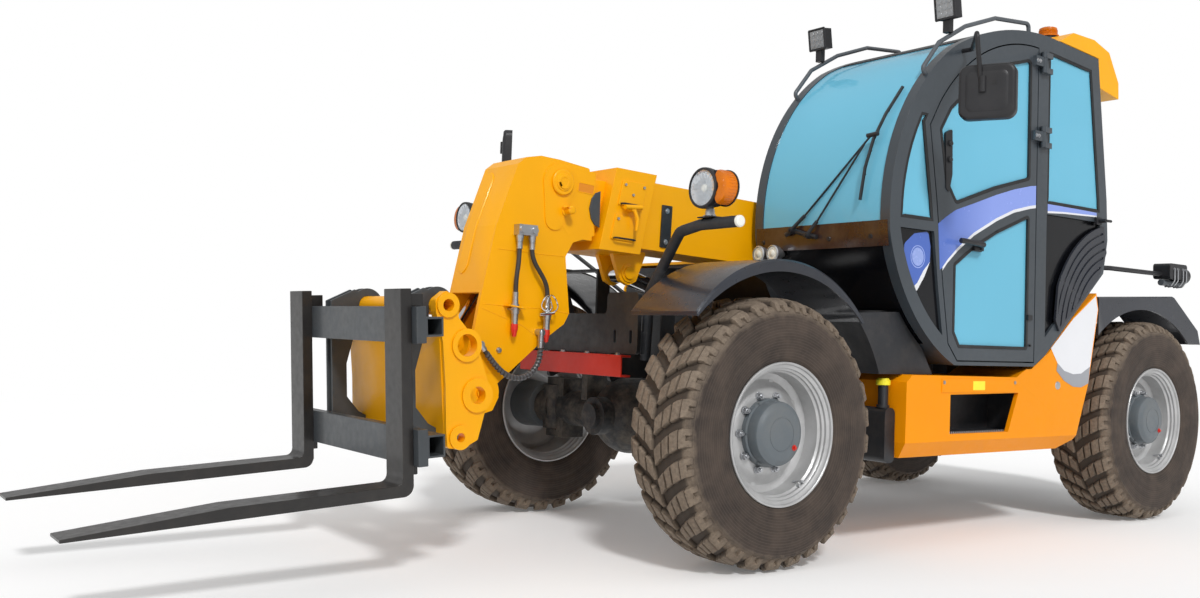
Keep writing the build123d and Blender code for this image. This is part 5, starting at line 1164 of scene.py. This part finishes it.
def side_box_fittings():
    """Screws, type plate, the dark lining of the step pocket and the zinc teeth of the step."""
    screws = Shape()
    for x in (-1.102, -1.696):
        screws.bolt((x, 1.0642, 0.815), (0, 1, 0), 0.0065, 0.003)
    screws.lathe([(0.0, 1.064), (0.012, 1.065), (0.02, 1.0642), (0.023, 1.059)], centre=(-2.1, 0, 0.8), seg=32)
    screws.make("side_box_screws", "zinc", "chassis")
    plate = Shape().prism([(-1.335, 0.777), (-1.435, 0.777), (-1.435, 0.822), (-1.335, 0.822)], 1.0642, 1.065)
    plate.make("side_box_plate", "cap_yellow", "chassis", bevel=0.0004)
    pocket = Shape()
    for sheet in ((-1.76, -1.15, 0.86, 0.862, 0.56, 0.775), (-1.76, -1.15, 0.862, 1.035, 0.772, 0.774),
                  (-1.154, -1.152, 0.862, 1.035, 0.563, 0.772), (-1.76, -1.758, 0.862, 1.035, 0.563, 0.772),
                  (-1.755, -1.156, 0.862, 1.028, 0.5622, 0.563)):
        pocket.box(*sheet)
    pocket.make("step_pocket", "panel_black", "chassis")
    step = Shape()
    x, z, pitch, tooth = -1.18, 0.562, 0.015, 0.012
    while x > -1.63:
        step.faces([(a, y, b) for y in (1.03, 1.04) for a, b in ((x, z), (x - tooth, z), (x - tooth / 2, z + 0.011))],
                   [(0, 1, 2), (5, 4, 3), (0, 3, 4, 1), (1, 4, 5, 2), (2, 5, 3, 0)])
        x -= pitch
    step.make("step_teeth", "zinc", "chassis")


# ---------------------------------------------------------------- boom and front details
def on_boom(x, y, z):
    """A point given along and above the boom's own axis, which slopes at rest."""
    return Vector((x * math.cos(RISE) - z * math.sin(RISE), y, BOOM_Z + x * math.sin(RISE) + z * math.cos(RISE)))


def on_collar(back, down, y):
    """A point on the collar's side face, as shares of its length and height from its top front corner."""
    return on_boom(0.348 - 0.066 + 0.076 * down - 0.25 * back, y, 0.404 * (0.5 - down))


def boom_fittings(name, side):
    """Bolts, grab handles and the yellow lever on one side of the boom's collar."""
    y, outward = side * 0.1864, Vector((0, side, 0))
    bolts, handles = Shape(), Shape()
    for back, down in ((0.27, 0.19), (0.73, 0.19), (0.5, 0.3), (0.27, 0.61), (0.73, 0.61)):
        bolts.bolt(on_collar(back, down, y), outward, 0.0075, 0.005, washer=False)
    for foot in (0.425, 0.845):
        a, b = on_collar(0.26, foot, y), on_collar(0.74, foot, y)
        handles.tube([a, a + outward * 0.02, b + outward * 0.02, b], 0.0048, seg=10, bend=0.008)
    handles.make(f"collar_handles_{name}", "lamp_black", "boom")
    c = on_collar(0.5, 0.475, side * 0.1805)

    def beside(x, out, z):
        return c + Vector((x, side * out, z))

    lever = Shape().cylinder(c, beside(0, 0.04, 0), 0.017, 0.015, seg=24)
    lever.tube([beside(0.052, 0.034, 0.004), beside(-0.052, 0.034, 0.01)], 0.0125)
    lever.tube([beside(-0.004, 0.034, 0), beside(-0.02, 0.044, -0.05), beside(-0.018, 0.04, -0.105)], 0.009, seg=14,
               bend=0.03)
    lever.make(f"collar_lever_{name}", "paint_yellow", "boom", bevel=0.001)
    for z in (-0.118, 0.038):
        p = on_boom(-0.071, side * 0.1532, z)
        bolts.cylinder(p, p + outward * 0.002, 0.013, seg=24)
        bolts.bolt(p, outward, 0.009, 0.006)
    bolts.make(f"boom_bolts_{name}", "zinc", "boom")


def head_fittings(name, side):
    """The head's pins, side pad, recess with its rim, whose orange inlay is painted shade, and weld beads, on one
    side.
    """
    pins = Shape()
    for section, x, z in (
            ([(0.033, 0.1512), (0.056, 0.1512), (0.06, 0.154), (0.06, 0.162), (0.056, 0.165),
              (0.042, 0.165), (0.04, 0.169), (0.033, 0.17)], 0.571, 1.694),
            ([(0.0, 0.1712), (0.02, 0.1712), (0.022, 0.1735), (0.0315, 0.1735), (0.033, 0.1715),
              (0.033, 0.165)], 0.571, 1.694),
            ([(0.026, 0.151), (0.026, 0.156), (0.018, 0.158), (0.014, 0.185), (0.02, 0.19), (0.02, 0.201),
              (0.014, 0.206), (0.0, 0.207)], 0.544, 1.564)):
        start = len(pins.bm.verts)
        pins.lathe(section, centre=(x, 0, z), seg=56)
        pins.bm.verts.ensure_lookup_table()
        if side < 0:
            # the joined vertices of one section shift the list for the next, so the right pins are not clean
            for v in pins.bm.verts[start:]:
                v.co.y = -v.co.y
    pins.make(f"head_pin_{name}", "paint_yellow", "boom_slide", angle=30)
    loop = rounded_loop([(0.382, 1.698), (0.386, 1.658), (0.474, 1.664), (0.47, 1.704)], 0.004)
    # The inlay's orange is painted shade in the recess.
    inlay = Shape().prism(loop, side * 0.1452, side * 0.1457)
    inlay.make(f"head_recess_{name}", "recess_painted_shade", "boom_slide")
    rim = ring_band(Shape(), loop, side * 0.1452, side * 0.147, 0.0, 0.004)
    rim.make(f"head_recess_rim_{name}", "paint_yellow", "boom_slide", bevel=0.0005)
    arc = [(0.348, 1.5), (0.376, 1.512), (0.398, 1.54), (0.409, 1.588), (0.398, 1.636), (0.376, 1.664),
           (0.348, 1.676)]
    pad = Shape().prism(arc, side * 0.1455, side * 0.154)
    pad.make(f"head_side_pad_{name}", "carriage_grey", "boom_slide", bevel=0.002)
    weld = Shape()
    for route in ([(0.534, 1.349), (0.7, 1.352), (0.905, 1.36)], [(0.646, 0.952), (0.76, 1.02), (0.975, 1.09)],
                  [(0.502, 1.084), (0.64, 1.1), (0.975, 1.11)]):
        weld.tube([(x, side * 0.1448, z) for x, z in route], 0.0022, seg=6)
    weld.make(f"head_welds_{name}", "paint_yellow", "boom_slide")


def head_front():
    """Raised strip down the right of the head's front, with pointed ends, and a screw low on its left side."""
    y, top, knee, foot = -0.072, Vector((0.823, 0, 1.73)), Vector((0.917, 0, 1.466)), Vector((0.962, 0, 1.25))
    out, bend = Vector((0.957, 0, 0.29)) * 0.0035, 0.55
    rings = []
    for t, half in ((0.0, 0.008), (0.03, 0.028), (0.08, 0.04), (0.55, 0.04), (0.92, 0.04), (0.97, 0.028),
                    (1.0, 0.008)):
        p = top.lerp(knee, t / bend) if t <= bend else knee.lerp(foot, (t - bend) / (1 - bend))
        rings.append([p + Vector((0, y - half, 0)), p + Vector((0, y + half, 0)),
                      p + Vector((0, y + half - 0.002, 0)) + out, p + Vector((0, y - half + 0.002, 0)) + out])
    Shape().loft(rings).make("head_front_strip", "paint_yellow", "boom_slide", angle=30)
    screw = Shape().lathe([(0.0, 0.156), (0.009, 0.155), (0.012, 0.152), (0.014, 0.1452)],
                          centre=(0.88, 0, 0.905), seg=24)
    screw.make("head_screw", "zinc", "boom_slide")


def coupler_fittings():
    """Red dust caps under the two quick couplers, the right one's loops and the left one's bracket."""
    left, right = (0.819, 1.133), (0.645, 1.112)
    caps, loops = Shape(), Shape()
    for x, z in (left, right):
        caps.cylinder((x, 0.172, z - 0.108), (x, 0.172, z - 0.135), 0.0165, seg=24)
        caps.cylinder((x, 0.172, z - 0.135), (x, 0.172, z - 0.165), 0.015, 0.009, seg=24)
        caps.tube([(x + 0.012, 0.176, z - 0.1), (x + 0.02, 0.182, z - 0.13), (x + 0.004, 0.178, z - 0.168)], 0.0025,
                  seg=6, bend=0.02)
    caps.make("coupler_caps", "plug_red", "boom_slide", bevel=0.001)
    x, z = right
    for r, tilt, dx in ((0.03, 0.35, -0.008), (0.026, -0.5, 0.016)):
        ring = [(x + dx + r * math.cos(t), 0.196 + 0.01 * math.sin(t * 2 + tilt), z + 0.012 + r * 1.35 * math.sin(t))
                for t in turns(24)]
        loops.tube(ring + ring[:1], 0.0034, seg=8)
    loops.tube([(x - 0.03, 0.184, z - 0.03), (x + 0.052, 0.19, z - 0.04)], 0.007, seg=12)
    loops.make("coupler_loops", "mirror_glass", "boom_slide")
    outline = shifted([(-0.045, -0.04), (0.048, -0.028), (0.046, -0.022), (-0.047, -0.033)], *left)
    bracket = Shape().prism(outline, 0.1455, 0.199)
    bracket.make("coupler_bracket", "paint_yellow", "boom_slide", bevel=0.0008)


def front_fittings():
    bolts = Shape()
    for y in (-0.36, -0.08, 0.12, 0.36):
        bolts.bolt((0.372, y, 0.9005), (0, 0, 1), 0.011, 0.008)
    bolts.make("beam_bolts", "zinc", "chassis")
    plugs = Shape()
    for side in (1, -1):
        for x, y in ((0.3, 0.7), (0.21, 0.82)):
            z = 1.093 + (0.508 - x) / 0.516 * 0.246          # the fender's top slopes down to its front edge
            plugs.cylinder((x, side * y, z - 0.03), (x + 0.003, side * y, z + 0.0035), 0.0105, 0.009, seg=20)
    plugs.make("fender_plugs", "lamp_black", "chassis")


# ---------------------------------------------------------------- seat cushions
def cushion(node, grow=0.012):
    """A stuffed seat pad: the CAD pad a little smaller, remeshed and blown up by cloth pressure."""
    lo, hi = (Vector(v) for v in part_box(node))
    centre, size = (lo + hi) / 2, hi - lo
    bm = node_mesh(node)
    for v in bm.verts:
        for k in range(3):
            v.co[k] = centre[k] + (v.co[k] - centre[k]) * (1 - 2 * grow / size[k])
    obj = mesh_object(bm, node + "_pad")
    remesh = obj.modifiers.new("remesh", "REMESH")
    remesh.mode, remesh.voxel_size = "VOXEL", 0.006
    apply_modifiers(obj)
    inflate(obj, grow)
    for v in obj.data.vertices:
        for k in range(3):
            v.co[k] = min(hi[k] - 0.0005, max(lo[k] + 0.0005, v.co[k]))
    sew(obj.data, lo, hi)
    smooth = obj.modifiers.new("smooth", "SUBSURF")
    smooth.levels = smooth.render_levels = 1
    apply_modifiers(obj)
    finish_piece(obj, "seat_fabric", NODES[node]["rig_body"], angle=80)
    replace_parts(obj, node)


def inflate(obj, most):
    """Blows a piece up by cloth pressure, no vertex further than a distance."""
    start = [v.co.copy() for v in obj.data.vertices]
    cloth = obj.modifiers.new("cloth", "CLOTH")
    cloth.settings.use_pressure = True
    cloth.settings.uniform_pressure_force = 4.0
    cloth.settings.effector_weights.gravity = 0.0
    cloth.settings.quality = 5
    scene = bpy.context.scene
    scene.frame_start, scene.frame_end = 1, 20
    for number in range(1, 21):
        scene.frame_set(number)
    apply_modifiers(obj)
    scene.frame_set(1)
    for v, before in zip(obj.data.vertices, start):
        move = v.co - before
        if move.length > most:
            v.co = before + move * (most / move.length)


def sew(mesh, lo, hi):
    """Presses sewn channels into a pad's face, which looks forward on the upright pad and up on the other."""
    size, middle = hi - lo, (lo + hi) / 2
    face, length_axis = (0, 2) if size.z > 0.3 else (2, 0)
    half_width, channel, pitch = 0.135, 0.008, 0.085
    for v in mesh.vertices:
        front = (v.co[face] - lo[face]) / size[face]
        if front < 0.55:
            continue
        across, along = v.co.y - middle.y, v.co[length_axis] - middle[length_axis]
        dent = max(math.exp(-((across - line) / channel) ** 2) for line in (-half_width, half_width))
        if abs(across) < half_width:
            near = (along + pitch / 2) % pitch - pitch / 2
            dent = max(dent, 0.8 * math.exp(-(near / 0.007) ** 2))
        v.co[face] -= 0.01 * dent * min(1.0, (front - 0.55) / 0.25)


def apply_modifiers(obj):
    bpy.context.view_layer.update()
    deps = bpy.context.evaluated_depsgraph_get()
    mesh = bpy.data.meshes.new_from_object(obj.evaluated_get(deps))
    obj.modifiers.clear()
    old = obj.data
    obj.data = mesh
    bpy.data.meshes.remove(old)


swoosh()
side_box_films()
screen_band()
wiper()
door_fittings()
side_box_fittings()
for side_name, side in SIDES:
    boom_fittings(side_name, side)
for side_name, side in SIDES:
    head_fittings(side_name, side)
head_front()
coupler_fittings()
front_fittings()
for pad_node in ("seat_cushion", "seat_back"):
    cushion(pad_node)


# ---------------------------------------------------------------- stage, light and camera
WHITE = (1, 1, 1, 1)


def backdrop():
    """Pale floor that keeps the object's shadow. It is white far off, in reflections and through glass."""
    mat, tree, shader = new_material("floor_white")
    path = add(tree, "ShaderNodeLightPath")
    glow = add(tree, "ShaderNodeEmission", Strength=1.0)
    glow.inputs["Color"].default_value = WHITE
    camera_ray = path.outputs["Is Camera Ray"]
    far = combine(tree, "MULTIPLY", camera_ray, ramp(tree, length(tree, object_point(tree)), 5.0, 11.0))
    clear = combine(tree, "MAXIMUM", path.outputs["Is Glossy Ray"], path.outputs["Is Transmission Ray"])
    clear = combine(tree, "MAXIMUM", clear, far)
    blend = add(tree, "ShaderNodeMixShader")
    tree.links.new(clear, blend.inputs["Fac"])
    tree.links.new(shader.outputs["BSDF"], blend.inputs[1])
    tree.links.new(glow.outputs["Emission"], blend.inputs[2])
    tree.links.new(blend.outputs["Shader"], tree.nodes["Material Output"].inputs["Surface"])
    base = mix(tree, noise(tree, 0.4, 2.0), (0.93, 0.93, 0.93), (0.95, 0.95, 0.95))
    finish(tree, shader, base, noise(tree, 0.5, 3.0), 0.85, 0.95)
    shader.inputs["Emission Color"].default_value = WHITE
    tree.links.new(combine(tree, "MULTIPLY", camera_ray, 0.1), shader.inputs["Emission Strength"])
    mesh = bpy.data.meshes.new("floor")
    mesh.from_pydata([(-60, -60, 0), (60, -60, 0), (60, 60, 0), (-60, 60, 0)], [], [(0, 1, 2, 3)])
    mesh.materials.append(mat)
    new_object("floor", mesh)


def world_light():
    """White where it is seen, and dimmer as light."""
    world = bpy.data.worlds.new("studio")
    world.use_nodes = True
    tree = world.node_tree
    background = tree.nodes["Background"]
    background.inputs["Color"].default_value = WHITE
    path = add(tree, "ShaderNodeLightPath")
    seen = combine(tree, "MAXIMUM", path.outputs["Is Camera Ray"], path.outputs["Is Transmission Ray"])
    tree.links.new(ramp(tree, seen, 0.0, 1.0, 0.56, 1.0), background.inputs["Strength"])
    bpy.context.scene.world = world


def sun(name, direction, strength, angle):
    light = bpy.data.lights.new(name, "SUN")
    light.energy, light.angle = strength, math.radians(angle)
    new_object(name, light).rotation_euler = Vector(direction).to_track_quat("Z", "Y").to_euler()


def camera(place, yaw, pitch, roll, lens, shift_y):
    """A camera from its place in metres from the front axle, its heading in degrees and its lens in millimetres."""
    yaw, pitch, roll = (math.radians(v) for v in (yaw, pitch, roll))
    ahead = Vector((math.cos(pitch) * math.cos(yaw), math.cos(pitch) * math.sin(yaw), math.sin(pitch)))
    right = ahead.cross(Vector((0, 0, 1))).normalized()
    up = right.cross(ahead)
    right, up = right * math.cos(roll) + up * math.sin(roll), up * math.cos(roll) - right * math.sin(roll)
    data = bpy.data.cameras.new("camera")
    data.sensor_width, data.sensor_fit = 36.0, "HORIZONTAL"
    data.lens, data.shift_y, data.clip_end = lens, shift_y, 200
    obj = new_object("camera", data)
    turn = Matrix((right, up, -ahead)).transposed()
    obj.matrix_world = Matrix.Translation(Vector(place) + Vector((SHIFT, 0, 0))) @ turn.to_4x4()
    bpy.context.scene.camera = obj


backdrop()
world_light()
sun("key", (0.35, 0.8, 0.75), 1.75, 8)
sun("fill", (0.85, 0.1, 0.55), 0.35, 60)
camera((3.535, 4.447, 0.996), 233.29, 2.564, 1.983, lens=33.6585, shift_y=-0.01325)
bpy.context.scene.view_settings.view_transform = "Standard"
